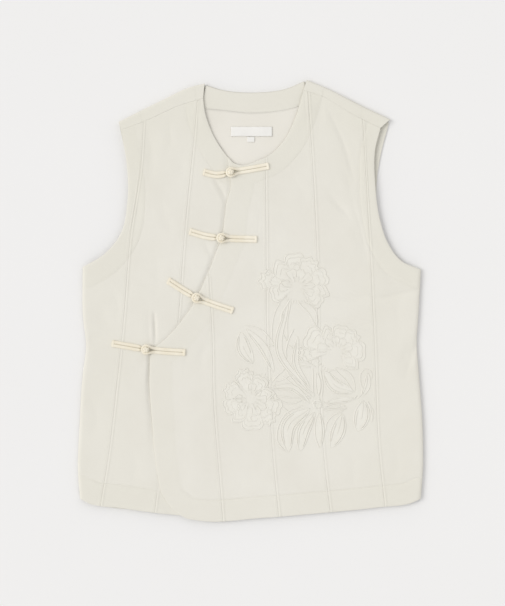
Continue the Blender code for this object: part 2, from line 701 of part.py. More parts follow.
def strap_rings(path, stations):
    """Sections of a strap of two cords. A station is a distance along, and scales of width and height."""
    length = length_of(path)
    along = np.array([place for place, _, _ in stations])
    middle = at(path, along / length)
    ahead = at(path, np.minimum(along / length + 0.02, 1)) - at(path, np.maximum(along / length - 0.02, 0))
    heading = ahead / np.linalg.norm(ahead, axis=1)[:, None]
    sideways = np.stack([-heading[:, 1], heading[:, 0]], axis=-1)
    rings = []
    for point, side, (_, wide, high) in zip(middle, sideways, stations):
        spots = point + np.array([[-1], [0], [1]]) * side * STRAP_WIDTH / 2
        base = surface_under(spots[:, 0], spots[:, 1]).max() + GAP
        rings.append([(*(point + wide * a * side), base + high * h) for a, h in STRAP])
    return rings


def strap(name, path, stations, where):
    rings = strap_rings(path, stations)
    poles = [tuple(np.mean(ring, axis=0)) for ring in (rings[0], rings[-1])]
    return lofted(name, rings, poles, "cord", where)


def join(obj, others, tools):
    for other in others:
        move_to(other, tools)
        other.hide_render = True
        other.display_type = "WIRE"
        union = obj.modifiers.new("join", "BOOLEAN")
        union.operation = "UNION"
        union.object = other


def build_frog(number, row, where, tools):
    end, middle, knot, loop_middle, loop_end = (np.array(place, float) for place in row)
    base = surface_under(knot[:1], knot[1:])[0] + GAP
    spot = (knot[0] * MM, knot[1] * MM)

    path = curve((end, middle, knot))
    long = length_of(path)
    body = [(place, 1, 1) for place in np.linspace(TURNED_END + 1, long - 10.5, 3)]
    turned = [(0, 1.04, TURNED_SCALE), (TURNED_END, 1.04, TURNED_SCALE)]
    neck = [(long - 6.5, NECK_WIDE, NECK_HIGH), (long, NECK_WIDE, NECK_HIGH)]
    arm = strap(f"frog_{number}_knot_arm", path, turned + body + neck, where)
    bpy.ops.mesh.primitive_uv_sphere_add(segments=14, ring_count=8, radius=KNOT_RADIUS * MM)
    ball = bpy.context.object
    ball.location = (*spot, (base + KNOT_RISE) * MM)
    ball.scale.z = KNOT_HEIGHT / KNOT_RADIUS
    shank_low = 0.5
    bpy.ops.mesh.primitive_cylinder_add(
        vertices=10, radius=SHANK_RADIUS * MM, depth=(KNOT_RISE - shank_low) * MM
    )
    shank = bpy.context.object
    shank.location = (*spot, (base + (KNOT_RISE + shank_low) / 2) * MM)
    join(arm, (shank, ball), tools)

    path = curve((loop_end, loop_middle, knot))
    long = length_of(path)
    body = [(place, 1, 1) for place in np.linspace(TURNED_END + 1, long - LOOP_RADIUS, 4)]
    arm = strap(f"frog_{number}_loop_arm", path, turned + body, where)
    bpy.ops.mesh.primitive_torus_add(
        major_segments=18, minor_segments=8, major_radius=LOOP_RADIUS * MM, minor_radius=LOOP_CORD * MM
    )
    loop = bpy.context.object
    loop.location = (*spot, (base + LOOP_RISE) * MM)
    join(arm, (loop,), tools)


# Embroidery: low padded shapes just above the left front.


def on_front(x, y, height):
    z = over_height(np.asarray(x, float), np.asarray(y, float))
    return [tuple(point) for point in np.column_stack([x, y, z + GAP + height])]


def blossom_rim(angle, petals):
    """Reach of a blossom in each direction: the furthest petal there, or its heart."""
    reach = np.full(angle.shape, BLOSSOM_HEART * np.mean([far for _, far, _ in petals]))
    for direction, far, half in petals:
        off = (np.degrees(angle) - direction + 180) % 360 - 180
        inside = np.cos(math.pi / 2 * np.clip(off / half, -1, 1))
        reach = np.maximum(reach, far * np.maximum(inside, 0) ** PETAL_TIP)
    return reach


def build_blossom(name, x, y, petals, where):
    angle = np.linspace(0, 2 * math.pi, BLOSSOM_SECTORS, endpoint=False)
    rim = blossom_rim(angle, petals)
    along = np.column_stack([np.cos(angle), np.sin(angle)])
    rings = []
    for share, height in BLOSSOM_RELIEF + ((1.0, 0), (0.5, 0)):
        reach = share * (rim * share + rim.min() * (1 - share))
        spots = [x, y] + reach[:, None] * along
        rings.append(on_front(spots[:, 0], spots[:, 1], height * rim / rim.max()))
    poles = [on_front([x], [y], height)[0] for height in (BLOSSOM_RELIEF[0][1], 0)]
    lofted(name, rings, poles, "thread", where)


def build_leaf(name, root_x, root_y, tip_x, tip_y, bow, half_width, where):
    root, tip = np.array([root_x, root_y], float), np.array([tip_x, tip_y], float)
    run = tip - root
    sideways = np.array([-run[1], run[0]]) / np.linalg.norm(run)
    path = curve((root, (root + tip) / 2 + bow * sideways, tip))
    share = np.linspace(0.03, 0.97, LEAF_STATIONS)
    ahead = at(path, share + 0.02) - at(path, share - 0.02)
    heading = ahead / np.linalg.norm(ahead, axis=1)[:, None]
    across_leaf = np.stack([-heading[:, 1], heading[:, 0]], axis=-1)
    rings = []
    for point, side, spot in zip(at(path, share), across_leaf, share):
        half = half_width * math.sin(math.pi * spot) ** 0.7
        spots = point + np.array([-1, -0.9, 0, 0.9, 1, 0])[:, None] * half * side
        heights = np.array([0, 0.7, 1, 0.7, 0, 0]) * LEAF_HEIGHT
        rings.append(on_front(spots[:, 0], spots[:, 1], heights))
    poles = [on_front(end[:1], end[1:], LEAF_HEIGHT / 3)[0] for end in (at(path, 0), at(path, 1))]
    lofted(name, rings, poles, "thread", where)


def build_embroidery(where):
    for name, (x, y, petals) in BLOSSOMS.items():
        build_blossom(name, x, y, petals, where)
    for row in LEAVES:
        build_leaf(*row, where)


def build_materials():
    for name, (colour, roughness) in MATERIALS.items():
        material = bpy.data.materials.new(name)
        material.use_nodes = True
        shader = material.node_tree.nodes["Principled BSDF"]
        shader.inputs["Base Color"].default_value = colour
        shader.inputs["Roughness"].default_value = roughness
        shader.inputs["Metallic"].default_value = 0


def main():
    for obj in list(bpy.data.objects):
        bpy.data.objects.remove(obj)
    build_materials()
    where, tools = collection("embroidered_waistcoat"), collection("joined_shapes", hidden=True)
    build_back(where)
    build_inside(where)
    build_right_front(where)
    build_left_front(where)
    for number, row in enumerate(FROGS, start=1):
        build_frog(number, row, where, tools)
    build_embroidery(where)


main()
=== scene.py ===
import math

import bmesh
import bpy
import numpy as np
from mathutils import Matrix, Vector


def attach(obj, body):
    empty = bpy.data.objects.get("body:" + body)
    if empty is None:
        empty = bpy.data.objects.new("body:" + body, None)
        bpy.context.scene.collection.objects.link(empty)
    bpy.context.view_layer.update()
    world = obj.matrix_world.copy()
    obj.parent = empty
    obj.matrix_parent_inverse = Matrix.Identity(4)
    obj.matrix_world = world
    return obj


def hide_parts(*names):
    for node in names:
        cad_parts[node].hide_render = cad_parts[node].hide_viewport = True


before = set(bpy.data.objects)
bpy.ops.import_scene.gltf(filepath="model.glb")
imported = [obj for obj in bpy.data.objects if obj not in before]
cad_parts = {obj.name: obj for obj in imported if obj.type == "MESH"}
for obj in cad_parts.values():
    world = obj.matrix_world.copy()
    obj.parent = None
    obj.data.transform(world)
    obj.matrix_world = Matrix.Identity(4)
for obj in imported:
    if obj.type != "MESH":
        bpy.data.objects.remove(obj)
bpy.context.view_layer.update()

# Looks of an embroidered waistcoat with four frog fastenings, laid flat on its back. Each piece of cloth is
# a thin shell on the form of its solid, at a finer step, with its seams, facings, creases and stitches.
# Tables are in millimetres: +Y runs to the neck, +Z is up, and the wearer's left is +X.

MM = 0.001

# Driving sizes, most of them as in the part's source.
WALL, THIN_WALL, GAP = 1.5, 1.0, 0.3
FRONT_WALL, SEAM_GAP = 0.8, 0.02  # only here: the fronts look thinner, and sewn edges meet
TOP = 6.5  # of the fronts
SIDE_ROLL, SIDE_LIP, SIDE_DROP = 6.5, 0.4, TOP / 2 - GAP / 2
EDGE_DROP, NECK_DROP, OPENING_DROP, BACK_HEM_DROP = 0.9, 0.4, 0.4, 0.8
EDGE_REACH, EDGE_SHARE = 7.0, 0.42  # an edge rounds down over a length, or a share of a narrow panel
UNDER_DIP, OVER_LIFT, LIFT_FROM, LIFT_TO = 0.5, 0.41, 45.0, 75.0
LEAST_APART = 0.1  # of the fronts where one lies on the other
MEET_BEFORE, MEET_WIDE = 22, 16  # how what lies on both fronts passes from one to the other
CURVE_STEPS = 12
ROW_STEP, COLUMN_STEP, BACK_STEP = 2.5, 2.1, 4.5
UNDER_COLUMN_STEP = 1.3  # where the right front dips beside the opening

SIDE_R = ((-227, -264), (-230, -226), (-228, -173), (-223.5, -99), (-219, -59.5), (-223, -24), (-223.5, 44))
SIDE_L = ((227, -264), (230, -219), (229.5, -173), (224, -93), (221.5, -57), (223.5, -24), (227, 41))
ARMHOLE_R = ((-223.5, 44), (-195, 61), (-173.5, 87), (-163.5, 133), (-164.5, 180), (-172, 226.5))
ARMHOLE_L = ((227, 41), (200, 53), (183, 76), (172, 109), (166, 156), (166, 200), (173, 229))
BACK_ARMHOLE_R = ((-223.5, 44), (-194, 60), (-172.5, 87), (-162.5, 133), (-164.5, 180), (-175.5, 237.5))
BACK_ARMHOLE_L = ((227, 41), (199, 53), (182, 76), (171, 109), (168.5, 160), (173.5, 193), (186, 241))
HEM_R = ((-227, -264), (-216, -270), (-174, -276.5), (-127, -283), (-78, -288))
HEM_L = ((-104, -278), (-87, -289.5), (-67, -293.5), (13, -290), (92, -283.5), (172, -275.5), (215, -269.5),
         (227, -264))
BACK_HEM = ((-227, -264), (-216, -269), (-127, -281), (0, -287), (127, -278.5), (215, -268.5), (227, -264))
OPENING = ((-104, -278), (-119, -255), (-122.5, -239), (-131, -159), (-134, -93), (-131, -67), (-113.5, -52),
           (-84.5, -18), (-56.5, 36), (-44.5, 67), (-39, 80), (-34, 113.5), (-32, 129), (-26, 152),
           (-29, 176), (-30, 190.5))
UNDER_EDGE = ((-80, -287.5), (-86, -159), (-87, -106), (-60, -53), (-25, 14), (2, 83), (7, 133), (2, 163))
NECK_R = ((2, 163), (-8, 171), (-20, 178), (-30, 190.5), (-39, 202), (-52.5, 226.5), (-61, 253), (-63, 268.5))
NECK_L = ((-30, 190.5), (-21, 182), (-14, 180), (15, 188), (20, 190), (43, 210.5), (60.5, 245), (70.5, 279.5))
BACK_NECK = ((-61, 287.5), (-38, 280.5), (7, 277), (46, 281.5), (75, 293.5))
FOLD_R = ((-175.5, 237.5), (-120.5, 265), (-76.5, 285), (-61, 288.5))
FOLD_L = ((75, 293.5), (99, 283.5), (152, 257), (186, 241))
SHOULDER_R = ((-172, 226.5), (-142, 237.5), (-94, 259), (-63, 268.5))
SHOULDER_L = ((70.5, 279.5), (96.5, 271), (132.5, 249.5), (173, 229))
SEAMS = {
    "right_side": ((-199.5, -272.5), (-188, -202), (-179, -125), (-168, -20), (-160, 81.5), (-145.5, 180),
                   (-142, 237.5)),
    "right_mid": ((-127.5, -283), (-122, -240), (-96, -26), (-86.5, 100), (-74.5, 220), (-70.5, 266.5)),
    "left_edge": ((-36.5, -292), (-43, -212), (-49, -133), (-51, -40), (-55, 33)),
    "left_centre": ((38, -288.5), (30.5, -212), (22.5, -66), (21, 93.5), (20, 190)),
    "left_inner": ((106.5, -282), (98.5, -215), (90.5, -66), (89, 51), (83, 180), (76.5, 278)),
    "left_mid": ((179, -274.5), (171, -199), (166, -79.5), (160, 51), (154.5, 153), (149.5, 240)),
    "back_right_side": ((-178, -274), (-166, -60), (-150, 150), (-147, 252)),
    "back_right_mid": ((-88, -284), (-72, -60), (-72, 200), (-74, 283)),
    "back_left_mid": ((103, -281), (87, -60), (92, 200), (97, 281)),
    "back_left_side": ((180, -273), (168, -60), (152, 150), (148, 255)),
}
# Where the back's seams meet the shoulder seam.
SHOULDER_X = {"back_right_side": -144.5, "back_right_mid": -73, "back_left_mid": 96, "back_left_side": 147}

# Folds and creases of the fronts: start x, y, middle x, y, end x, y, half-width, height. The first sixteen
# are in the solids.
FOLDS = (
    (-131, -18, -131, -40, -129, -60, 6, -1.1), (-47, 161, -39, 145, -34, 131, 6, -0.7),
    (109, 252, 130, 206, 144, 146, 11, -0.8), (104, 142, 118, 126, 131, 112, 5, -0.8),
    (140, 93, 150, 73, 156, 51, 8, -0.7), (95, 260, 92, 246, 91, 233, 6, -0.7),
    (220, -56, 211, -69, 204, -89, 8, -1.1), (-217, -60, -205, -52, -190, -48, 8, -1.0),
    (-203, -15, -195, -24, -186, -34, 8, -0.8), (-99, 193, -93, 183, -87, 173, 9, -0.6),
    (-136, 226, -132, 197, -132, 166, 8, -0.8), (104, 5, 132, 1, 160, 3, 8, -0.7),
    (168, 2, 196, 6, 222, 12, 8, -0.7), (-146, -88, -140, -80, -134, -73, 6, -0.7),
    (-66, 262, -64, 248, -57, 230, 11, 1.2), (75, 272, 69, 252, 60, 232, 11, 1.0),
    (-118, -262, -114, -270, -110, -278, 5, -0.5), (90, -26, 125, -29, 162, -36, 3.2, -1.3),
    (108, 5, 150, 3, 166, 3, 3.6, -1.0), (164, 2, 196, 7, 222, 13, 3.6, -1.2),
    (180, 28, 200, 19, 226, 14, 1.6, -0.7), (224, -50, 215, -76, 206, -102, 4, -0.8),
    (103, 254, 124, 208, 137, 160, 3.0, -0.8), (110, 132, 121, 122, 131, 112, 3, -0.5),
    (136, 128, 146, 98, 153, 68, 2.6, -0.5), (-147, 23, -130, 19, -114, 17, 4, -0.5),
    (-47, 160, -38, 146, -31, 130, 2.6, -0.8), (-52, 157, -43, 142, -36, 127, 3.2, 0.6),
    (-7, 67, -17, 44, -25, 20, 4, -0.4), (-128, -18, -127, -38, -126.5, -58, 1.8, -1.7),
    (-60, 74, -54, 63, -47, 53, 3, -0.8), (-132.5, -18, -131.5, -38, -131, -58, 2.8, 0.9),
    (-60, -62, -66, -76, -64, -92, 5, -0.4), (104, 48, 128, 47, 150, 44, 6, -0.45),
    (178, 40, 188, 22, 202, 12, 6, -0.45), (212, -128, 202, -140, 190, -146, 7, -0.4),
    (-212, -128, -205, -150, -207, -176, 6, -0.45), (-192, -86, -180, -98, -172, -116, 6, -0.35),
    (-120, 128, -112, 108, -104, 92, 6, -0.4), (-128, 60, -122, 34, -124, 8, 6, -0.35),
    (-108, 236, -106, 214, -110, 196, 5, -0.45), (-154, 150, -150, 120, -156, 96, 5, -0.45),
    (-184, 12, -176, -8, -178, -26, 5, -0.35), (52, 168, 66, 150, 72, 128, 6, -0.35),
    (120, 180, 130, 160, 134, 140, 4, -0.35), (38, 120, 52, 104, 58, 84, 7, -0.25),
    (190, -190, 196, -216, 192, -238, 6, -0.4), (132, -206, 138, -228, 134, -250, 6, -0.35),
    (-20, -230, -12, -246, -16, -262, 7, -0.3), (62, -218, 68, -238, 64, -258, 7, -0.3),
    (-90, -192, -84, -212, -88, -236, 6, -0.3), (-160, -200, -152, -222, -156, -244, 7, -0.4),
    (0, 60, 8, 42, 6, 20, 6, -0.25), (-8, 150, -2, 132, -6, 112, 6, -0.25),
    (205, 6, 196, -12, 198, -34, 6, -0.35),
)
# Folds of the back, which rise from the surface below.
BACK_FOLDS = (
    (-120, 232, -100, 180, -96, 120, 8, 0.9), (120, 236, 104, 186, 108, 126, 8, 0.8),
    (-150, 40, -120, 10, -84, -2, 9, 0.7), (168, 24, 134, 2, 104, -16, 8, 0.8),
    (-20, 120, -30, 60, -18, 4, 9, 0.6), (40, 60, 52, 10, 44, -48, 8, 0.7),
    (-196, -120, -176, -160, -180, -214, 8, 0.8), (206, -100, 190, -150, 194, -206, 8, 0.7),
    (-110, -120, -100, -170, -112, -222, 9, 0.6), (10, -130, -4, -186, 6, -236, 9, 0.7),
    (130, -130, 140, -176, 128, -228, 8, 0.6), (-60, -70, -24, -84, 16, -78, 7, 0.5),
    (60, 214, 30, 190, -6, 184, 7, 0.5),
)

FOLD_ENDS = 0.35  # share of its height that a fold has at its ends

# Facings: the edge, the width of the band inside it at the edge's start and end, which side is inside,
# where 1 is the left of the edge, and how deep its stitched line is at the start and end.
FACINGS = {
    "right": ((NECK_R, 27, 25, 1, 0.8, 0.8), (HEM_R, 31, 30, 1, 2.0, 2.0), (ARMHOLE_R, 29, 18, -1, 1.4, 0.1)),
    "left": ((NECK_L, 26, 26, -1, 0.8, 0.8), (OPENING, 29, 31, -1, 0.25, 0.25), (HEM_L, 29, 28, 1, 2.1, 2.1),
             (ARMHOLE_L, 27, 18, 1, 2.4, 1.0)),
    "back": ((BACK_HEM, 30, 30, 1, 1, 1), (BACK_ARMHOLE_R, 29, 20, -1, 1, 1),
             (BACK_ARMHOLE_L, 29, 20, 1, 1, 1)),
}
FACING_RISE, FACING_GROOVE, FACING_LINE, FACING_SOFT = 0.12, 0.30, 1.3, 1.6
LEAST_STITCHED = 0.5  # a shallower line shows no stitches

# Distances from a seam at which a panel has columns, and its rows at the hem and at the shoulder seam.
STITCH_FROM_SEAM = 3.0
SEAM_COLUMNS = (0, 0.35, 0.8, 1.4, 2.2, STITCH_FROM_SEAM, 3.8, 5.2, 7.2, 8.4, 9.8)
STITCH_COLUMN = SEAM_COLUMNS.index(STITCH_FROM_SEAM)
HEM_ROWS = (0, 0.25, 0.7, 1.4, 2.4, 3.8, 5.4, EDGE_REACH, 9.5, 12.5, 15.5, 18.5, 21.5, 24, 26, 27, 27.7, 28.4,
            29.1, 29.8, 30.5, 31.2, 32, 33)
SEAM_ROWS = (0, 0.4, 0.9, 1.6, 2.6, 4.2, 6.5, 8.5)
# The relief beside a seam: heights, the places of the ridge and the hollow, and the allowance's own share,
# width and soft end.
SEAM_DITCH, SEAM_RIDGE, SEAM_GROOVE, SEAM_LINE = 0.18, 0.20, 0.08, 0.6
RIDGE_AT, HOLLOW_AT, HOLLOW_WIDE, HOLLOW_SHARE = 1.9, 5.0, 1.3, 0.5
ALLOWANCE_SHARE, ALLOWANCE_WIDE, ALLOWANCE_SOFT = 0.3, 6.5, 2.5
SHOULDER_SEAM = 0.6  # of another seam's relief

# How the right front dips at the opening edge: y, how wide, and how much deeper the crease at the edge is.
DIPS = ((-278, 11, 0), (-205, 11, 0), (-170, 9, 0.5), (-135, 8, 1.0), (-105, 7, 1.6), (-74, 6, 2.0),
        (-58, 5, 0.5), (-35, 5, 0.2), (-12, 6, 0.6), (8, 8, 1.1), (40, 8, 1.0), (68, 8, 0.8), (90, 6, 1.0),
        (135, 6, 0.7), (160, 6, 0), (190, 8, 0))
DIP_END, CREVICE_BEFORE, CREVICE_WIDE = 0.4, 0.3, 3.4
EDGE_TURN, EDGE_TURN_WIDE = 0.22, 1.1
TOP_TURN, TOP_TURN_WIDE = 0.6, 3.0

# Slight unevenness of cloth that has been handled: waves across and along, phase, height.
RIPPLES = ((0.031, 0.047, 0.4, 0.10), (-0.052, 0.024, 2.1, 0.08), (0.083, 0.061, 4.0, 0.05),
           (0.118, -0.094, 1.3, 0.035), (-0.17, 0.13, 5.2, 0.025), (0.24, 0.21, 3.1, 0.015))


# Curves, as in the part's source.


def curve(rows):
    """Dense points of a smooth curve through the rows of a table."""
    points = np.array(rows, float)
    chords = np.linalg.norm(np.diff(points, axis=0), axis=1)[:, None]
    slopes = np.diff(points, axis=0) / chords
    inner = (slopes[:-1] * chords[1:] + slopes[1:] * chords[:-1]) / (chords[1:] + chords[:-1])
    tangents = np.vstack([slopes[:1], inner, slopes[-1:]])
    t = np.arange(CURVE_STEPS)[:, None] / CURVE_STEPS
    pieces = [
        (2 * t**3 - 3 * t**2 + 1) * start + (t**3 - 2 * t**2 + t) * chord * leave
        + (3 * t**2 - 2 * t**3) * end + (t**3 - t**2) * chord * arrive
        for start, end, leave, arrive, chord in zip(points, points[1:], tangents, tangents[1:], chords)
    ]
    return np.vstack(pieces + [points[-1:]])


def lengths(path):
    """How far along a path each of its points is."""
    return np.concatenate([[0], np.cumsum(np.linalg.norm(np.diff(path, axis=0), axis=1))])


def length_of(path):
    return lengths(path)[-1]


def at(path, share):
    """Points at these shares of a path's length."""
    length = lengths(path)
    place = np.asarray(share) * length[-1]
    return np.stack([np.interp(place, length, column) for column in path.T], axis=-1)


def between(start, end, share):
    return start + (end - start) * share


def unit(vectors):
    return vectors / (np.linalg.norm(vectors, axis=-1, keepdims=True) + 1e-12)


def left_of(heading):
    """The level direction to the left of each heading."""
    left = np.zeros_like(heading)
    left[..., 0], left[..., 1] = -heading[..., 1], heading[..., 0]
    return left


def heading_at(path, share, near=0.01):
    return unit(at(path, np.minimum(share + near, 1)) - at(path, np.maximum(share - near, 0)))


def frame_along(path, place):
    """Points, headings and sideways directions at distances along a path."""
    share = np.asarray(place, float) / length_of(path)
    heading = heading_at(path, share)
    return at(path, share), heading, left_of(heading)


def joined(low, high):
    """A path carried on by another one, and the share of its length where they meet."""
    path = np.vstack([low, high])
    return path, length_of(low) / length_of(path)


def y_on(path, x):
    order = np.argsort(path[:, 0])
    return np.interp(x, path[order, 0], path[order, 1])


def x_on(path, y):
    return y_on(path[:, ::-1], y)


def across(path, start, end):
    x = np.linspace(start, end, 8 * CURVE_STEPS)
    return np.stack([x, y_on(path, x)], axis=-1)


def upward(path, start, end):
    return across(path[:, ::-1], start, end)[:, ::-1]


def seam(name, side, bottom, top=None):
    """One edge of a seam, half the gap to its side, from the bottom path to the top path."""
    path = curve(SEAMS[name]) + [side * SEAM_GAP / 2, 0]
    path[0, 1] = y_on(bottom, path[0, 0])
    if top is not None:
        path[-1, 1] = y_on(top, path[-1, 0])
    return path


def nearest(x, y, path):
    """Distance from a path, and the share of the path at the nearest place."""
    best, share, length = np.full(np.shape(x), 1e9), np.zeros(np.shape(x)), lengths(path)
    for start, end, before, after in zip(path, path[1:], length, length[1:]):
        run = (end - start) / max(after - before, 1e-9)
        along = np.clip((x - start[0]) * run[0] + (y - start[1]) * run[1], 0, after - before)
        away = np.hypot(x - start[0] - along * run[0], y - start[1] - along * run[1])
        share = np.where(away < best, (before + along) / length[-1], share)
        best = np.minimum(away, best)
    return best, share


# Heights.


def soft_step(t):
    t = np.clip(t, 0, 1)
    return t * t * (3 - 2 * t)


def bell(t):
    return np.exp(-(t * t))


def folds_at(x, y, rows):
    """Height that the folds add at these places."""
    total, share = np.zeros(np.shape(x)), np.linspace(0, 1, 33)
    taper = FOLD_ENDS + (1 - FOLD_ENDS) * np.sin(math.pi * share)
    for *places, half_width, height in rows:
        near = at(curve(np.reshape(places, (3, 2))), share)
        away = np.hypot(x[..., None] - near[:, 0], y[..., None] - near[:, 1])
        total += height * (taper * bell(away / half_width)).max(axis=-1)
    return total


def ripples(x, y):
    return sum(high * np.sin(kx * x + ky * y + phase) for kx, ky, phase, high in RIPPLES)


def past_opening(x, y):
    return x - x_on(curve(OPENING), y)


def dip_at(x, y):
    """Share of the dip under the left front at these places, and the extra depth of the crease."""
    row_y, wide, deep = np.array(DIPS, float).T
    past = past_opening(x, y)
    dip = soft_step(1 + (past + DIP_END) / np.interp(y, row_y, wide))
    return dip, np.interp(y, row_y, deep) * bell((past + CREVICE_BEFORE) / CREVICE_WIDE)


def front_height(x, y):
    return TOP + folds_at(x, y, FOLDS) + ripples(x, y)


def under_height(x, y):
    dip, crevice = dip_at(x, y)
    return TOP + (1 - dip) * (front_height(x, y) - TOP) - UNDER_DIP * dip - crevice


def over_height(x, y):
    past = past_opening(x, y)
    height = front_height(x, y) + OVER_LIFT * (1 - soft_step((past - LIFT_FROM) / (LIFT_TO - LIFT_FROM)))
    least = TOP - UNDER_DIP + FRONT_WALL + LEAST_APART
    return np.where(past < LIFT_FROM, np.maximum(height, least), height)


def surface_under(x, y):
    """The upper face of whichever front shows."""
    rise = soft_step((past_opening(x, y) + MEET_BEFORE) / MEET_WIDE)
    return (1 - rise) * front_height(x, y) + rise * over_height(x, y)


def rounding(distance, reach):
    """Share of a rounded edge's drop at this distance from the edge."""
    t = np.clip(1 - distance / np.maximum(reach, 1e-6), 0, 1)
    return 1 - np.sqrt(1 - t * t)


def seam_relief(distance, along):
    """Height beside a seam: the ditch, the puckered ridge, the allowance and the hollow beyond it."""
    pucker = 1 + 0.4 * np.sin(0.55 * along) * np.sin(0.21 * along + 1)
    allowance = ALLOWANCE_SHARE * (1 - soft_step((distance - ALLOWANCE_WIDE) / ALLOWANCE_SOFT))
    ridge = bell(distance - RIDGE_AT) + allowance
    uneven = 1 + 0.6 * np.sin(0.033 * along + 1.7)
    hollow = HOLLOW_SHARE * bell((distance - HOLLOW_AT) / HOLLOW_WIDE) * uneven
    ditch = SEAM_DITCH * (1 + 0.5 * np.sin(0.047 * along + 0.6)) * bell(distance / SEAM_LINE)
    groove = SEAM_GROOVE * bell((distance - STITCH_FROM_SEAM) / SEAM_LINE)
    return SEAM_RIDGE * (pucker * ridge - hollow) - ditch - groove


def facing_relief(x, y, side):
    """Height of the facings, and how far each place is inside one."""
    inside, line, hidden = np.zeros(np.shape(x)), np.zeros(np.shape(x)), np.zeros(np.shape(x), bool)
    for rows, first, last, _, deep, deep_end in FACINGS[side]:
        away, share = nearest(x, y, curve(rows))
        past = away - between(first, last, share)
        inside = np.maximum(inside, 1 - soft_step(past / FACING_SOFT + 0.5))
        line = np.maximum(line, between(deep, deep_end, share) * bell(past / FACING_LINE))
        hidden |= past < -3 * FACING_LINE
    return FACING_RISE * inside - FACING_GROOVE * np.where(hidden, 0, line), inside


# Grids of points.


def spaced(start, end, step, fewest=2):
    return np.linspace(start, end, max(fewest, round(abs(end - start) / step)) + 1)


def rows_along(length, corner, bottom, top, step):
    """Shares of a panel's length for its sections."""
    low, high = np.array(bottom) / length, 1 - np.array(top[::-1]) / length
    ends, marks = [low[-1]] + ([corner] if corner else []) + [high[0]], list(low)
    for start, end in zip(ends, ends[1:]):
        marks += list(spaced(start * length, end * length, step)[1:] / length)
    return np.array(marks + list(high[1:]))


class Edge:
    """One long edge of a panel: a seam, a turned edge, or a side that rounds down, and where along it."""

    def __init__(self, kind, shares=(0, 1), drops=(0, 0), seam_shares=(0, 1), seam_weights=(1, 1)):
        self.kind, self.drops, self.weights = kind, (shares, drops), (seam_shares, seam_weights)

    def seam_weight(self, row):
        return np.interp(row, *self.weights) if self.kind == "seam" else 0 * row

    def turn(self, away, rows):
        """How far the turned edge itself rounds down."""
        if self.kind == "side":
            return 0 * away
        return (1 - self.seam_weight(rows))[:, None] * EDGE_TURN * rounding(away, EDGE_TURN_WIDE)

    def columns(self, width, row):
        """Distances of the columns from this edge. A rounded side ends in a lip."""
        if self.kind == "side":
            lip = SIDE_LIP * (1 - np.interp(row, *self.drops) / SIDE_DROP)
            angles = np.radians((66, 54, 43, 33, 24, 16, 8, 0))
            return np.concatenate([[0, lip], min(SIDE_ROLL, EDGE_SHARE * width) * (1 - np.sin(angles))])
        reach = SEAM_COLUMNS[-1]
        return np.array(SEAM_COLUMNS) * min(reach, EDGE_SHARE * width) / reach

    def sunk(self, away, width, rows):
        """How far this edge sinks each point."""
        reach = np.minimum(SIDE_ROLL if self.kind == "side" else EDGE_REACH, EDGE_SHARE * width)
        here = rounding(away, reach[:, None])
        if self.kind == "side":
            here = np.where(away <= 0, 1, here * (1 - SIDE_LIP / SIDE_DROP))
        return np.interp(rows, *self.drops)[:, None] * here


SEAM = Edge("seam")


def edge_forms(edges, distance, width, rows, length):
    """How far a panel's long edges sink it, the relief of their seams, and how far they turn down."""
    sunk, relief, turned = 0, 0, 0
    for edge, away in zip(edges, (distance, width[:, None] - distance)):
        sunk = np.maximum(sunk, edge.sunk(away, width, rows))
        relief = relief + edge.seam_weight(rows)[:, None] * seam_relief(away, rows[:, None] * length)
        turned = turned + edge.turn(away, rows)
    return sunk, relief, turned


def patch(left, right, bottom, top, rows, columns):
    """Points of a panel between its four edges, with each section's distances and width."""
    left_at, right_at = at(left, rows), at(right, rows)
    width = np.linalg.norm(right_at - left_at, axis=1)
    distance = columns(width, rows)
    u, v = (distance / width[:, None])[..., None], rows[:, None, None]
    corners = (1 - v) * ((1 - u) * bottom[0] + u * bottom[-1]) + v * ((1 - u) * top[0] + u * top[-1])
    spread = (1 - v) * at(bottom, u[..., 0]) + v * at(top, u[..., 0])
    return spread + (1 - u) * left_at[:, None] + u * right_at[:, None] - corners, distance, width


def panel_columns(edges, step, fewest):
    """Gives the distances of a panel's columns from its left edge, close together at both edges."""

    def places(width, rows):
        count = max(fewest, round((width.max() - 2 * SEAM_COLUMNS[-1]) / step)) + 1
        sections = []
        for wide, row in zip(width, rows):
            left, right = edges[0].columns(wide, row), wide - edges[1].columns(wide, row)[::-1]
            sections.append(np.concatenate([left, np.linspace(left[-1], right[0], count)[1:-1], right]))
        return np.array(sections)

    return places


# Meshes.


def grid_of(rows, columns, first=0):
    """The numbers of a grid's vertices."""
    return first + np.arange(rows * columns).reshape(rows, columns)


def closed(index):
    return np.column_stack([index, index[:, 0]])


def grid_faces(index, upward=True):
    """Quads of a grid of vertex numbers."""
    quads = np.stack([index[:-1, :-1], index[:-1, 1:], index[1:, 1:], index[1:, :-1]], axis=-1).reshape(-1, 4)
    return (quads if upward else quads[:, ::-1]).tolist()


def grid_mesh(points, upward=True):
    return points.reshape(-1, 3), grid_faces(grid_of(*points.shape[:2]), upward)


def rings_mesh(points):
    """A closed body through rings of points, with its ends filled."""
    index = grid_of(*points.shape[:2])
    return points.reshape(-1, 3), grid_faces(closed(index)) + [index[0][::-1].tolist(), index[-1].tolist()]


def merged(parts):
    """Several vertex and face lists as one."""
    vertices, faces, count = [], [], 0
    for points, shapes in parts:
        vertices.append(points)
        faces += [[value + count for value in face] for face in shapes]
        count += len(points)
    return np.vstack(vertices), faces


SHARP_FROM = 100  # degrees between faces, as at the rim of a pad


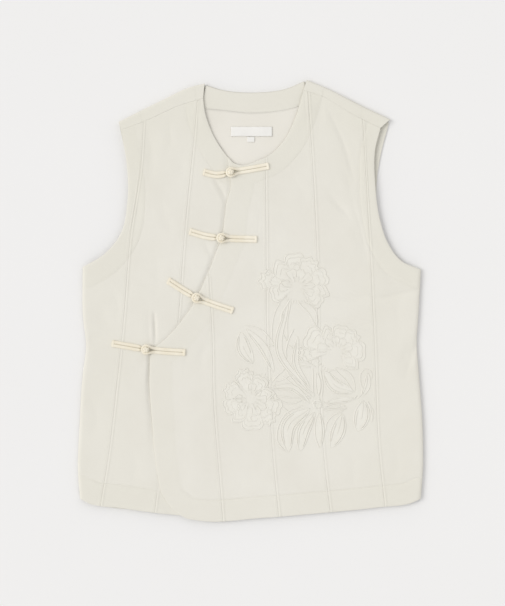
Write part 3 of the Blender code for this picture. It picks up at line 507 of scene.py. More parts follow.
def add_piece(name, vertices, faces, look, nodes=(), slot=None):
    mesh = bpy.data.meshes.new(name)
    mesh.from_pydata((vertices * MM).tolist(), [], faces)
    mesh.validate()
    mesh.materials.append(looks[look])
    mesh.shade_smooth()
    mesh.set_sharp_from_angle(angle=math.radians(SHARP_FROM))
    obj = bpy.data.objects.new(name, mesh)
    bpy.context.scene.collection.objects.link(obj)
    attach(obj, "root")
    if nodes:
        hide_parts(*nodes)
    return obj


# How much warmer and darker the cloth's colour is where a facing backs it, and towards the shoulders and the
# sides:
# from what distance, over what distance, and how much. Towards the shoulders and the sides it is partly the
# cloth's own tone and partly painted shade, as where the shoulders roll over.
WARM_BACKED = 0.9
WARM_AND_SHADE_UP, WARM_AND_SHADE_HIGH, WARM_AND_SHADE_OUT = (90, 140, 1.0), (205, 40, 0.6), (90, 90, 0.9)


def add_cloth(name, vertices, faces, backed, wall, look="cloth"):
    """A shell of cloth inwards from its outer face, which knows for its colour where a facing backs it,
    and its warmer, darker tint towards the shoulders and sides, which is partly painted shade.
    """
    obj = add_piece(f"{name}_cloth", vertices, faces, look, (name,))
    # The "backed" colour attribute: a facing's own tint, plus a tint towards the shoulders and sides that is
    # partly the cloth's tone and partly painted shade.
    warm_and_shade = WARM_BACKED * np.pad(backed.ravel(), (0, len(vertices) - backed.size))
    x, y = np.abs(vertices[:, 0]), vertices[:, 1]
    for place, (first, wide, much) in ((y, WARM_AND_SHADE_UP), (y, WARM_AND_SHADE_HIGH), (x, WARM_AND_SHADE_OUT)):
        warm_and_shade = warm_and_shade + much * soft_step((place - first) / wide)
    obj.data.attributes.new("backed", "FLOAT", "POINT").data.foreach_set("value", warm_and_shade)
    thicken = obj.modifiers.new("wall", "SOLIDIFY")
    thicken.thickness, thicken.offset, thicken.use_even_offset = wall * MM, -1, True
    return obj


def full_turn(count):
    return np.linspace(0, 2 * math.pi, count, endpoint=False)


def rings(path, sideways, raised, radius, flat, sides):
    """Rings of points round a path, flattened in the raised direction."""
    size, high = (np.broadcast_to(value, len(path))[:, None, None] for value in (radius, flat))
    turn = full_turn(sides)[:, None]
    return path[:, None] + size * (np.cos(turn) * sideways[:, None] + high * np.sin(turn) * raised[:, None])


def tube(path, radius, sides=6, flat=1.0):
    """A closed tube along points, with a radius for each or for all, flattened in height."""
    heading = unit(np.gradient(path, axis=0))
    sideways = unit(left_of(heading))
    raised = np.cross(heading, sideways)
    raised *= np.sign(raised[:, 2:3] + 1e-12)
    ring = rings(path, sideways, raised, radius, flat, sides)
    index = closed(grid_of(len(path), sides))
    count, faces = len(path) * sides, grid_faces(index)
    for k in range(sides):
        faces += [[count, int(index[0, k + 1]), k], [count + 1, int(index[-1, k]), int(index[-1, k + 1])]]
    return np.vstack([ring.reshape(-1, 3), path[:1], path[-1:]]), faces


# Materials.

THREAD_PITCH = 0.00062  # of the shell cloth, in metres
WAVE_UNIT = 0.314  # one period of a wave texture of scale 1, in metres
CLOTH_LIGHT, CLOTH_DARK, CLOTH_BACKED_AND_SHADED = (0.803, 0.780, 0.708), (0.781, 0.756, 0.680), (0.770, 0.747, 0.660)
# Smooth cloth, cord and thread with fine ribs: light and dark colour, roughness, sheen, direction, pitch and
# depth of the ribs in metres, and how fine the colour's patches are.
RIBBED = {
    "lining": ((0.815, 0.785, 0.715), (0.775, 0.745, 0.668), 0.5, 0.1, "DIAGONAL", 0.0005, 0.00004, 9),
    "label": ((0.875, 0.86, 0.82), (0.83, 0.815, 0.775), 0.55, 0.1, "X", 0.0004, 0.00004, 40),
    "cord": ((0.885, 0.83, 0.70), (0.83, 0.765, 0.62), 0.6, 0.2, "DIAGONAL", 0.0006, 0.00008, 60),
    "thread": ((0.811, 0.789, 0.716), (0.788, 0.764, 0.688), 0.5, 0.15, "DIAGONAL", 0.0004, 0.00006, 60),
    "stitch": ((0.80, 0.78, 0.71), (0.74, 0.72, 0.64), 0.6, 0.1, "DIAGONAL", 0.0004, 0.00005, 60),
}
looks = {}


class Look:
    """A node material. Each step adds a node and gives its output."""

    def __init__(self, name, roughness, sheen=0.0, specular=0.35):
        self.material = looks[name] = bpy.data.materials.new(f"waistcoat_{name}")
        self.material.use_nodes = True
        self.tree = self.material.node_tree
        self.shader = self.tree.nodes["Principled BSDF"].inputs
        for socket, value in (("Roughness", roughness), ("Sheen Weight", sheen), ("Sheen Roughness", 0.5),
                              ("Specular IOR Level", specular)):
            self.shader[socket].default_value = value
        self.place = self.node("TexCoord").outputs["Object"]

    def feed(self, socket, value):
        if isinstance(value, bpy.types.NodeSocket):
            self.tree.links.new(value, socket)
        else:
            socket.default_value = value

    def node(self, kind, **values):
        """A node, with its properties and then its sockets set by name."""
        node = self.tree.nodes.new(f"ShaderNode{kind}")
        for key, value in values.items():
            if hasattr(node, key):
                setattr(node, key, value)
            else:
                self.feed(node.inputs[key.replace("_", " ")], value)
        return node

    def waves(self, way, pitch, distortion=0.4):
        node = self.node("TexWave", wave_type="BANDS", bands_direction=way, Vector=self.place,
                         Scale=WAVE_UNIT / pitch, Distortion=distortion, Detail=1.0, Detail_Scale=0.6)
        return node.outputs["Fac"]

    def noise(self, scale, detail=3.0):
        return self.node("TexNoise", Vector=self.place, Scale=scale, Detail=detail).outputs["Fac"]

    def combine(self, how, first, second):
        node = self.node("Math", operation=how)
        self.feed(node.inputs[0], first)
        self.feed(node.inputs[1], second)
        return node.outputs[0]

    def mottled(self, factor, *stops):
        """Two colours in soft patches, each from its place on the factor's scale."""
        node = self.node("ValToRGB", Fac=factor)
        for element, (place, colour) in zip(node.color_ramp.elements, stops):
            element.position, element.color = place, (*colour, 1)
        return node.outputs["Color"]

    def bump(self, height, depth, strength):
        self.feed(self.shader["Normal"], self.node(
            "Bump", Strength=strength, Distance=depth, Height=height).outputs["Normal"])


def make_looks():
    """The shell, plain-woven with a slub, warmer and darker where a facing backs it and, partly as painted
    shade, towards the shoulders and sides; and what is ribbed.
    """
    cloth = Look("cloth", 0.88, 0.12, 0.2)
    warp, weft = (cloth.combine("SUBTRACT", cloth.waves(way, THREAD_PITCH), 0.5) for way in "XY")
    weave = cloth.combine("MULTIPLY", cloth.combine("MULTIPLY", warp, weft), 2.0)
    slub = cloth.combine("MULTIPLY", cloth.noise(900, 2.0), 0.5)
    cloth.bump(cloth.combine("ADD", weave, slub), 0.00012, 0.6)
    backed = cloth.node("Attribute", attribute_name="backed").outputs["Fac"]
    # The colour mixes towards the darker backed colour by the "backed" attribute: a facing's own tint, and
    # towards the shoulders and sides partly painted shade.
    mix = cloth.node("Mix", data_type="RGBA", Factor=cloth.combine("MULTIPLY", backed, 0.4))
    cloth.feed(mix.inputs[6], cloth.mottled(cloth.noise(14, 4.0), (0.35, CLOTH_DARK), (0.62, CLOTH_LIGHT)))
    cloth.feed(mix.inputs[7], (*CLOTH_BACKED_AND_SHADED, 1))
    cloth.feed(cloth.shader["Base Color"], mix.outputs[2])
    for name, (light, dark, roughness, sheen, way, pitch, depth, patches) in RIBBED.items():
        look = Look(name, roughness, sheen)
        colour = look.mottled(look.noise(patches), (0.35, dark), (0.65, light))
        look.feed(look.shader["Base Color"], colour)
        look.bump(look.waves(way, pitch, 1.2), depth, 0.5)


# Stitches.

STITCH_LONG, STITCH_PITCH, STITCH_THICK = 2.3, 3.0, 0.26
# A stitch's sections along it and how high each lies, and the three corners of a section.
STITCH_ALONG, STITCH_RISE = (-0.5, -0.36, 0, 0.36, 0.5), (-0.30, 0.06, 0.14, 0.06, -0.30)
STITCH_SECTION = ((-1, -0.5), (0, 1), (1, -0.5))
FACING_STEP, FACING_ENDS, STITCH_LIFT = 2.0, 0.004, 0.05
COVERED_FROM, OWN_SLACK, OPENING_CLEAR = 0.4, 0.8, 2  # how near a facing hides another one's stitches
BROKEN_FROM, FEWEST_POINTS = 6, 6  # where a line of stitches ends, and what is left out as too short
stitch_paths = {"front_right": [], "front_left": [], "back": []}


def save_stitches(group, edges, grid, rows):
    """Keeps the lines of topstitching beside a panel's seams."""
    for edge, column in zip(edges, (STITCH_COLUMN, -1 - STITCH_COLUMN)):
        if edge.kind == "seam":
            stitch_paths[group].append(grid[: len(rows)][edge.seam_weight(rows) > 0.9, column])


def dashes(path, up):
    """Running stitches along points, on the cloth's upper face, or on its lower face where up is -1."""
    count = max(1, int(length_of(path) / STITCH_PITCH))
    middle = (np.arange(count) + 0.5) / count
    heading = heading_at(path, middle, 0.001)
    sideways = left_of(heading)
    along = np.array(STITCH_ALONG)[None, :, None, None] * STITCH_LONG
    section = np.array(STITCH_SECTION) * STITCH_THICK
    spots = (at(path, middle)[:, None, None] + along * heading[:, None, None]
             + section[None, None, :, :1] * sideways[:, None, None])
    spots[..., 2] += up * (np.array(STITCH_RISE)[:, None] + section[:, 1])
    one = grid_faces(closed(grid_of(5, 3))) + [[0, 1, 2], [14, 13, 12]]
    faces = [[15 * stitch + value for value in face] for stitch in range(count) for face in one]
    return spots.reshape(-1, 3), faces


def facing_path(side, order):
    """The stitched inner edge of one facing, on the front's outer face, where no other facing covers it."""
    rows, first, last, inward, deep, deep_end = FACINGS[side][order]
    edge = curve(rows)
    share = spaced(FACING_ENDS, 1 - FACING_ENDS, FACING_STEP / length_of(edge))
    spots, _, sideways = frame_along(edge, share * length_of(edge))
    spots = spots + (inward * between(first, last, share))[:, None] * sideways
    x, y = spots.T
    keep = between(deep, deep_end, share) > LEAST_STITCHED
    for other, (rows, begin, end, *_) in enumerate(FACINGS[side]):
        away, along = nearest(x, y, curve(rows))
        keep &= away > between(begin, end, along) - (OWN_SLACK if other == order else COVERED_FROM)
    if side == "right":
        keep &= past_opening(x, y) < -OPENING_CLEAR
    height = over_height(x, y) if side == "left" else under_height(x, y)
    return np.column_stack([spots, height + facing_relief(x, y, side)[0] + STITCH_LIFT])[keep]


def build_stitches():
    for side in ("right", "left"):
        for order, row in enumerate(FACINGS[side]):
            if max(row[-2:]) >= LEAST_STITCHED:
                path = facing_path(side, order)
                gaps = np.linalg.norm(np.diff(path[:, :2], axis=0), axis=1)
                runs = np.split(path, np.flatnonzero(gaps > BROKEN_FROM) + 1)
                stitch_paths[f"front_{side}"] += [run for run in runs if len(run) >= FEWEST_POINTS]
    for name, paths in stitch_paths.items():
        parts = [dashes(path, -1.0 if name == "back" else 1.0) for path in paths]
        add_piece(f"topstitch_{name}", *merged(parts), "stitch", slot="thread")


# Front panels.


def front_panel(name, left, right, hem, high, height, edges, corner=None, seamed=True):
    """A panel of a front as a shell under its outer face, with its seams, facings and creases.

    It ends at the path high, or straight if that is None.
    """
    bottom = across(hem, left[0, 0], right[0, 0])
    top = np.array([left[-1], right[-1]]) if high is None else across(high, left[-1, 0], right[-1, 0])
    length = length_of(left)
    rows = rows_along(length, corner, HEM_ROWS, SEAM_ROWS, ROW_STEP)
    under = height is under_height
    columns = panel_columns(edges, UNDER_COLUMN_STEP if under else COLUMN_STEP, 4)
    points, distance, width = patch(left, right, bottom, top, rows, columns)
    x, y = points[..., 0], points[..., 1]
    base = height(x, y)
    sunk, relief, turned = edge_forms(edges, distance, width, rows, length)
    at_side = np.clip(1 - sunk / SIDE_DROP, 0, 1)
    z = np.where(sunk > EDGE_DROP, TOP + at_side * (base - TOP), base) - turned
    z = z - np.maximum(sunk, EDGE_DROP * rounding(rows * length, EDGE_REACH)[:, None])

    side = name.split("_")[1]
    facing, backed = facing_relief(x, y, side)
    to_top = (1 - rows[:, None]) * length
    relief = relief + facing + (
        SHOULDER_SEAM * seam_relief(to_top, x) if seamed else -TOP_TURN * rounding(to_top, TOP_TURN_WIDE))
    calm = at_side * (1 - dip_at(x, y)[0]) if under else at_side
    grid = np.dstack([points, z + calm * relief])
    save_stitches(f"front_{side}", edges, grid, rows)
    return add_cloth(name, *grid_mesh(grid), backed, FRONT_WALL), grid


def side_edge(corner):
    """Full drop at the side seam, a turned edge round the armhole, none at its top."""
    shares = (0, corner - 0.05, corner, corner + 0.05, 0.9, 1)
    return Edge("side", shares, (SIDE_DROP, SIDE_DROP, SIDE_DROP - GAP / 2, EDGE_DROP, EDGE_DROP, 0))


def build_right_front():
    hem, shoulder = curve(HEM_R), curve(SHOULDER_R) - [0, SEAM_GAP / 2]
    side, corner = joined(curve(SIDE_R), curve(ARMHOLE_R)[1:])
    side[-1] = shoulder[0]
    low, neck = curve(UNDER_EDGE), curve(NECK_R)[1:]
    low[0, 1] = y_on(hem, low[0, 0])
    neck[-1] = shoulder[-1]
    under, bend = joined(low, neck)
    neck = Edge("turned", (0, bend + 0.09, bend + 0.13, 0.95, 1), (0, 0, NECK_DROP, NECK_DROP, 0))
    return [
        front_panel("front_right_side", side, seam("right_side", -1, hem, shoulder), hem, shoulder,
                    front_height, (side_edge(corner), SEAM), corner),
        front_panel("front_right_mid", seam("right_side", 1, hem, shoulder),
                    seam("right_mid", -1, hem, shoulder), hem, shoulder, under_height, (SEAM, SEAM)),
        front_panel("front_right_under", seam("right_mid", 1, hem, shoulder), under, hem, shoulder,
                    under_height, (SEAM, neck), bend),
    ]


def seam_and_edge(corner, shares, drops):
    """An edge that is a seam up to its corner and turned beyond it."""
    return Edge("seam", (0, corner, corner + 0.04, *shares), (0, 0, *drops), (0, corner, corner + 0.01, 1),
                (1, 1, 0, 0))


def build_left_front():
    hem, shoulder = curve(HEM_L), curve(SHOULDER_L) - [0, SEAM_GAP / 2]
    neck, opening = curve(NECK_L), curve(OPENING)
    edge_top = SEAMS["left_edge"][-1][1]
    left = upward(opening, HEM_L[0][1], edge_top)
    left[0] = hem[0]
    edge = Edge("turned", (0, 0.97, 1), (OPENING_DROP, OPENING_DROP, 0))
    made = [front_panel("front_left_edge", left, seam("left_edge", -1, hem), hem, None, over_height,
                        (edge, SEAM), seamed=False)]

    left, corner = joined(seam("left_edge", 1, hem), upward(opening, edge_top + 4, NECK_L[0][1]))
    left[-1] = neck[0]
    edge = seam_and_edge(corner, (1,), (OPENING_DROP, OPENING_DROP))
    made.append(front_panel("front_left_centre", left, seam("left_centre", -1, hem, neck), hem, neck,
                            over_height, (edge, SEAM), corner, seamed=False))

    low = seam("left_centre", 1, hem, neck)
    high = across(neck, low[-1, 0] + 1, shoulder[0, 0])
    high[-1] = shoulder[0]
    left, corner = joined(low, high)
    edge = seam_and_edge(corner, (0.95, 1), (NECK_DROP, NECK_DROP, 0))
    side, bend = joined(curve(SIDE_L), curve(ARMHOLE_L)[1:])
    side[-1] = shoulder[-1]
    return made + [
        front_panel("front_left_inner", left, seam("left_inner", -1, hem, shoulder), hem, shoulder,
                    over_height, (edge, SEAM), corner),
        front_panel("front_left_mid", seam("left_inner", 1, hem, shoulder),
                    seam("left_mid", -1, hem, shoulder), hem, shoulder, over_height, (SEAM, SEAM)),
        front_panel("front_left_side", seam("left_mid", 1, hem, shoulder), side, hem, shoulder,
                    over_height, (SEAM, side_edge(bend)), bend),
    ]


# Back panels, which roll over the shoulder and come down to the shoulder seam.

ROLL_RADIUS = TOP / 2
ROLL_ANGLES = np.linspace(-70, 90, 13)
SHOULDER_SHARES = (0.2, 0.4, 0.55, 0.7, 0.8, 0.88, 0.94, 0.97, 1)
STRIP_SHARES = np.array((0, 0.02, 0.05, 0.09, 0.14, 0.19, 0.25, 0.34, 0.46, 0.6, 0.75, 0.87, 0.94, 0.98, 1))
NECK_COLUMNS = 33
CALM_HEM, CALM_SHOULDER = 40, 25  # how far the back's folds take to rise


def shoulder_lines(fold, shoulder, fold_ends, shoulder_ends, share):
    """Middle of the roll at the shoulder, the way out from it, and the shoulder seam."""
    fold_x, shoulder_x = (np.interp(share, (0, 1), ends) for ends in (fold_ends, shoulder_ends))
    ridge = np.stack([fold_x, y_on(fold, fold_x)], axis=-1)
    end = np.stack([shoulder_x, y_on(shoulder, shoulder_x) + SEAM_GAP / 2], axis=-1)
    outward = unit(ridge - end)
    return ridge - ROLL_RADIUS * outward, outward, end


def shoulder_rows(centre, outward, end):
    """Rows of points over the roll and down the front to the shoulder seam."""
    rows = []
    for angle in np.radians(ROLL_ANGLES):
        flat = centre + ROLL_RADIUS * math.cos(angle) * outward
        raised = (front_height(*flat.T) - TOP) * (angle > 0)
        rows.append(np.column_stack([flat, ROLL_RADIUS + (ROLL_RADIUS + raised) * math.sin(angle)]))
    for share in SHOULDER_SHARES:
        flat = between(centre, end, share)
        away = (1 - share) * np.linalg.norm(end - centre, axis=1)
        high = front_height(*flat.T) + SHOULDER_SEAM * seam_relief(away, flat[:, 0])
        rows.append(np.column_stack([flat, high]))
    return np.array(rows)


def back_grid(left, right, hem, top, columns, edges, corner=None):
    """Points of the back's outer face, which lies on the surface below, and what goes with them."""
    length = length_of(left)
    rows = rows_along(length, corner, HEM_ROWS, (0,), BACK_STEP)
    points, distance, width = patch(left, right, across(hem, left[0, 0], right[0, 0]), top, rows, columns)
    x, y = points[..., 0], points[..., 1]
    sunk, relief, _ = edge_forms(edges, distance, width, rows, length)
    sunk = np.maximum(sunk, BACK_HEM_DROP * rounding(rows * length, EDGE_REACH)[:, None])
    facing, backed = facing_relief(x, y, "back")
    inner = soft_step(rows * length / CALM_HEM) * soft_step((1 - rows) * length / CALM_SHOULDER)
    folds = inner[:, None] * (folds_at(x, y, BACK_FOLDS) + np.maximum(ripples(x, y), 0))
    calm = np.clip(1 - sunk / SIDE_DROP, 0, 1)
    z = sunk + calm * np.maximum(0, folds - relief - facing + FACING_RISE * backed)
    return np.dstack([points, z]), backed, rows, distance[-1] / width[-1]


def back_panel(name, left_side, right_side, hem, over, corner=None):
    """A panel of the back. A side is its path, its ends at the fold and at the shoulder, and its edge."""
    (left, *left_ends, left_edge), (right, *right_ends, right_edge) = left_side, right_side
    ends, edges = list(zip(left_ends, right_ends)), (left_edge, right_edge)
    centre, _, _ = shoulder_lines(*over, *ends, np.linspace(0, 1, 8 * CURVE_STEPS))
    left[-1], right[-1] = centre[0], centre[-1]
    grid, backed, rows, share = back_grid(
        left, right, hem, centre, panel_columns(edges, BACK_STEP, 3), edges, corner)
    lines = shoulder_lines(*over, *ends, share)
    grid[-1, :, :2] = lines[0]
    grid = np.vstack([grid, shoulder_rows(*lines)])
    save_stitches("back", edges, grid, rows)
    return add_cloth(name, *grid_mesh(grid, upward=False), backed, WALL), grid


def back_centre(left_side, right_side, hem, over_right, over_left):
    """The centre of the back, with a strip each side of the neck that goes over the shoulder."""
    (left, right_x, right_front, _), (right, left_x, left_front, _) = left_side, right_side
    strips = (
        shoulder_lines(*over_right, (right_x, FOLD_R[-1][0]), (right_front, SHOULDER_R[-1][0]), STRIP_SHARES),
        shoulder_lines(*over_left, (FOLD_L[0][0], left_x), (SHOULDER_L[0][0], left_front),
                       1 - STRIP_SHARES[::-1]),
    )
    neck = at(curve(BACK_NECK), np.linspace(0, 1, NECK_COLUMNS))[1:-1]
    top = np.vstack([strips[0][0], neck, strips[1][0]])
    left[-1], right[-1] = top[0], top[-1]
    shares = lengths(top) / length_of(top)
    grid, backed, _, _ = back_grid(
        left, right, hem, top, lambda width, _: width[:, None] * shares, (SEAM, SEAM))
    index = grid_of(*grid.shape[:2])
    vertices, faces = grid_mesh(grid, upward=False)
    wide = len(STRIP_SHARES)
    for strip, columns in zip(strips, (index[-1, :wide], index[-1, -wide:])):
        over = shoulder_rows(*strip)
        numbers = grid_of(*over.shape[:2], first=len(vertices))
        faces += grid_faces(np.vstack([columns, numbers]), upward=False)
        vertices = np.vstack([vertices, over.reshape(-1, 3)])
    for path, way in ((left, 1), (right, -1)):
        path = np.column_stack([path[:, 0] + way * STITCH_FROM_SEAM, path[:, 1], np.zeros(len(path))])
        stitch_paths["back"].append(path)
    return add_cloth("back_centre", vertices, faces, backed, WALL), grid


def build_back():
    hem = curve(BACK_HEM)
    over_right, over_left = (curve(FOLD_R), curve(SHOULDER_R)), (curve(FOLD_L), curve(SHOULDER_L))

    def at_seam(name, way):
        shift = way * SEAM_GAP / 2
        return seam(name, way, hem), SEAMS[name][-1][0] + shift, SHOULDER_X[name] + shift, SEAM

    def at_side(side, armhole, shoulder_x):
        path, corner = joined(curve(side), curve(armhole)[1:])
        edge = Edge("side", (0, corner, corner + 0.05, 1), (SIDE_DROP, SIDE_DROP, 0, 0))
        return (path, path[-1, 0], shoulder_x, edge), corner

    right, right_corner = at_side(SIDE_R, BACK_ARMHOLE_R, SHOULDER_R[0][0])
    left, left_corner = at_side(SIDE_L, BACK_ARMHOLE_L, SHOULDER_L[-1][0])
    return [
        back_panel("back_right_side", right, at_seam("back_right_side", -1), hem, over_right, right_corner),
        back_panel("back_right_mid", at_seam("back_right_side", 1), at_seam("back_right_mid", -1), hem,
                   over_right),
        back_panel("back_left_side", at_seam("back_left_side", 1), left, hem, over_left, left_corner),
        back_panel("back_left_mid", at_seam("back_left_mid", 1), at_seam("back_left_side", -1), hem,
                   over_left),
        back_centre(at_seam("back_right_mid", 1), at_seam("back_left_mid", -1), hem, over_right, over_left),
    ]


# Inside of the back neck.

LINING_STANDS = 1.5  # how far the lining stands off the back
INNER_TOP = WALL + GAP + THIN_WALL + LINING_STANDS
FACING_LOW = ((-68, 255.7), (-40.5, 253.5), (7, 249.5), (46, 253.5), (79, 262))
FACING_TOP_INSET, FACING_TOP_X = 1.0, (-59.5, 72.0)
LINING_LOW = ((-75, 150), (0, 145), (95, 150))
# Low waves: height, how close across and along, phase, and how square they end.
FACING_WAVES, LINING_WAVES = (0.12, 0.11, 0, 1, 1), (0.22, 0.09, 0.01, 0, 0.5)
# Middle x, y, length, width, and how many columns and rows.
LABEL, TAB = (1.5, 224.5, 55.0, 13.0, 64, 20), (0.5, 214.0, 10.0, 7.0, 20, 16)
SLAB_EDGE, SLAB_WAVE, WELD = 0.8, 0.1, 0.02


def inner_sheet(name, bottom, top, look, high, along_x, along_y, phase, power):
    """A sheet between two paths, in low waves that end at both."""
    rows, columns = spaced(0, 1, 0.04), spaced(0, 1, 0.015)
    left, right = np.array([bottom[0], top[0]]), np.array([bottom[-1], top[-1]])
    points, _, _ = patch(left, right, bottom, top, rows, lambda width, _: width[:, None] * columns)
    waves = np.sin(along_x * points[..., 0] + along_y * points[..., 1] + phase)
    grid = np.dstack([points, INNER_TOP + high * waves * np.sin(math.pi * rows[:, None]) ** power])
    return add_cloth(name, *grid_mesh(grid), np.zeros(0), THIN_WALL, look), grid


def build_slab(name, x, y, long, wide, columns, rows):
    """A thin closed piece of cloth with soft edges and a slight wave, above the lining."""
    u, v = np.meshgrid(spaced(-1, 1, 2 / columns), spaced(-1, 1, 2 / rows))
    edge = np.minimum((1 - np.abs(u)) * long / 2, (1 - np.abs(v)) * wide / 2)
    swell = np.sqrt(np.clip(1 - (1 - np.clip(edge / SLAB_EDGE, 0, 1)) ** 2, 0, 1))
    px, py, middle, half = x + u * long / 2, y + v * wide / 2, INNER_TOP + GAP + THIN_WALL / 2, THIN_WALL / 2
    lift = SLAB_WAVE * (0.5 + 0.5 * np.sin(0.17 * px + 0.3) * np.cos(0.3 * py))
    upper = np.dstack([px, py, middle + swell * (half + lift)])
    lower = np.dstack([px, py, middle - swell * half])
    vertices, faces = merged([grid_mesh(upper), grid_mesh(lower, upward=False)])
    obj = add_piece(f"{name}_cloth", vertices, faces, "label", (name,))
    work = bmesh.new()
    work.from_mesh(obj.data)
    bmesh.ops.remove_doubles(work, verts=work.verts, dist=WELD * MM)
    work.to_mesh(obj.data)
    work.free()
    obj.data.shade_smooth()
    return obj


def build_inside():
    low, neck = curve(FACING_LOW), curve(BACK_NECK) - [0, FACING_TOP_INSET]
    half, top = [0, SEAM_GAP / 2], across(neck, *FACING_TOP_X)
    made = [
        inner_sheet("back_neck_facing", low + half, top, "cloth", *FACING_WAVES),
        inner_sheet("back_lining", curve(LINING_LOW), low - half, "lining", *LINING_WAVES),
    ]
    label, tab = build_slab("neck_label", *LABEL), build_slab("size_tab", *TAB)
    return made


# Frogs: knot arm's end, its middle, the knot, and the loop arm's middle and end.

FROGS = (
    ((-62.5, 170.5), (-44, 166.5), (-26, 170), (0, 174), (24.5, 178.5)),
    ((-81, 91.5), (-58, 85), (-38.5, 82.5), (-16, 81.5), (8.5, 81)),
    ((-109.5, 26.5), (-90, 14), (-71.5, 3), (-47, -6), (-23, -14)),
    ((-184, -57.5), (-161, -61.5), (-138.5, -65.5), (-112, -68), (-86.5, -69.5)),
)
KNOT_RADIUS, KNOT_RISE, KNOT_HEIGHT = 4.3, 6.6, 3.4
KNOT_LEADS, KNOT_BIGHTS, KNOT_STEPS, KNOT_SIDES = 3, 5, 160, 8
KNOT_CORD, KNOT_FLAT, KNOT_LATITUDE, KNOT_WEAVE = 1.15, 0.8, 62, 0.32
SHANK_WIDE, SHANK_LOW = 4, 0.4  # what holds the knot off the cloth
LOOP_RADIUS, LOOP_CORD, LOOP_RISE = 5.4, 1.8, 2.9
LOOP_OPEN, LOOP_FORK, LOOP_FLATTENS = 48, 5, 7  # degrees; how far from the loop its cords part and lie flat
CORD_RADIUS, CORD_APART, CORD_FLAT = 2.2, 2.28, 0.45
CORD_LIFT, CORD_START = 0.04, 1.2  # of a cord above the cloth, and from its arm's end
# The knot arm's cords at the knot: how far before its middle, offset, radius, how flat.
NARROWS = ((11, CORD_APART, CORD_RADIUS, CORD_FLAT), (8.5, 1.9, 1.6, 0.7), (7, 1.5, 1.3, 0.4),
           (0, 1.0, 1.0, 0.4))
TURNED_END, TURNED_WIDE, TURNED_HIGH, TURNED_BEFORE = 3.2, 9.4, 2.2, 0.2
LOOP_POINTS, LOOP_SMOOTHED = 150, 10


def pillow(middle, heading, long, wide, high, base, power=0.55):
    """A closed bar with soft edges, lying on the height base."""
    u, v = full_turn(24), np.linspace(-math.pi / 2, math.pi / 2, 13)[1:-1, None]

    def rounded(value):
        return np.sign(value) * np.abs(value) ** power

    a, b = (rounded(np.cos(v)) * rounded(way) / 2 for way in (np.cos(u), np.sin(u)))
    a, b, c = a * long, b * wide, base + high / 2 + rounded(np.sin(v)) * np.ones(len(u)) * high / 2
    (x, y), (ahead, up) = middle, heading
    return rings_mesh(np.dstack([x + a * ahead - b * up, y + a * up + b * ahead, c]))


def woven_ball(x, y, z):
    """A round knot button, as one cord that weaves over and under itself round a core."""
    turn = np.linspace(0, 2 * math.pi, KNOT_STEPS + 1)
    latitude = math.radians(KNOT_LATITUDE) * np.sin(KNOT_BIGHTS * turn)
    longitude = KNOT_LEADS * turn
    radius = KNOT_RADIUS - KNOT_CORD + KNOT_WEAVE * np.sin(2 * KNOT_BIGHTS * turn + 0.6)
    flat = KNOT_HEIGHT / KNOT_RADIUS
    spread, high = radius * np.cos(latitude), flat * radius * np.sin(latitude)
    out = np.column_stack([spread * np.cos(longitude), spread * np.sin(longitude), high])
    path, out = [x, y, z] + out, unit(out)
    heading = np.gradient(path, axis=0)
    heading[0] = heading[-1] = path[1] - path[-2]
    ring = rings(path, np.cross(unit(heading), out), out, KNOT_CORD, KNOT_FLAT, KNOT_SIDES)
    index = closed(grid_of(KNOT_STEPS, KNOT_SIDES))
    cord = ring[:-1].reshape(-1, 3), grid_faces(np.vstack([index, index[:1]]))
    v, u = np.linspace(-1.45, 1.45, 9)[:, None], full_turn(16)
    core = np.dstack([np.cos(v) * np.cos(u), np.cos(v) * np.sin(u), flat * np.sin(v) * np.ones(len(u))])
    return [cord, rings_mesh((KNOT_RADIUS - KNOT_CORD) * core + [x, y, z])]


def arm_cord(path, stations, side):
    """One cord of an arm. A station is a distance along, an offset, a radius and how flat."""
    place, *values = np.array(stations, float).T
    fine = np.linspace(place[0], place[-1], 40)
    offset, radius, flat = (np.interp(fine, place, value) for value in values)
    middle, _, sideways = frame_along(path, fine)
    spots = middle + side * offset[:, None] * sideways
    z = surface_under(*spots.T) + CORD_LIFT + radius * flat
    return tube(np.column_stack([spots, z]), radius, 12, flat)


def turned_end(path):
    middle, heading, _ = frame_along(path, [TURNED_END / 2 - TURNED_BEFORE])
    base = surface_under(*middle.T)[0] + CORD_LIFT
    return pillow(middle[0], heading[0], TURNED_END, TURNED_WIDE, TURNED_HIGH, base)


def loop_path(path, base):
    """The cord of a loop arm, from its far end round the knot and back."""
    long = length_of(path)
    middle, _, sideways = frame_along(path, np.linspace(CORD_START, long - LOOP_RADIUS - LOOP_FORK, 24))
    (knot,), (heading,), (side,) = frame_along(path, [long])
    rise = surface_under(*middle.T) + CORD_LIFT + CORD_RADIUS * CORD_FLAT
    one, other = (np.column_stack([middle + way * CORD_APART * sideways, rise]) for way in (1, -1))
    turn = np.radians(np.linspace(LOOP_OPEN, 360 - LOOP_OPEN, 23))[:, None]
    ring = knot + LOOP_RADIUS * (np.sin(turn) * side - np.cos(turn) * heading)
    rough = np.vstack([one, np.column_stack([ring, np.full(len(ring), base + LOOP_RISE)]), other[::-1]])
    points = at(rough, np.linspace(0, 1, LOOP_POINTS))
    for _ in range(LOOP_SMOOTHED):
        points[1:-1] = (points[:-2] + 2 * points[1:-1] + points[2:]) / 4
    return points


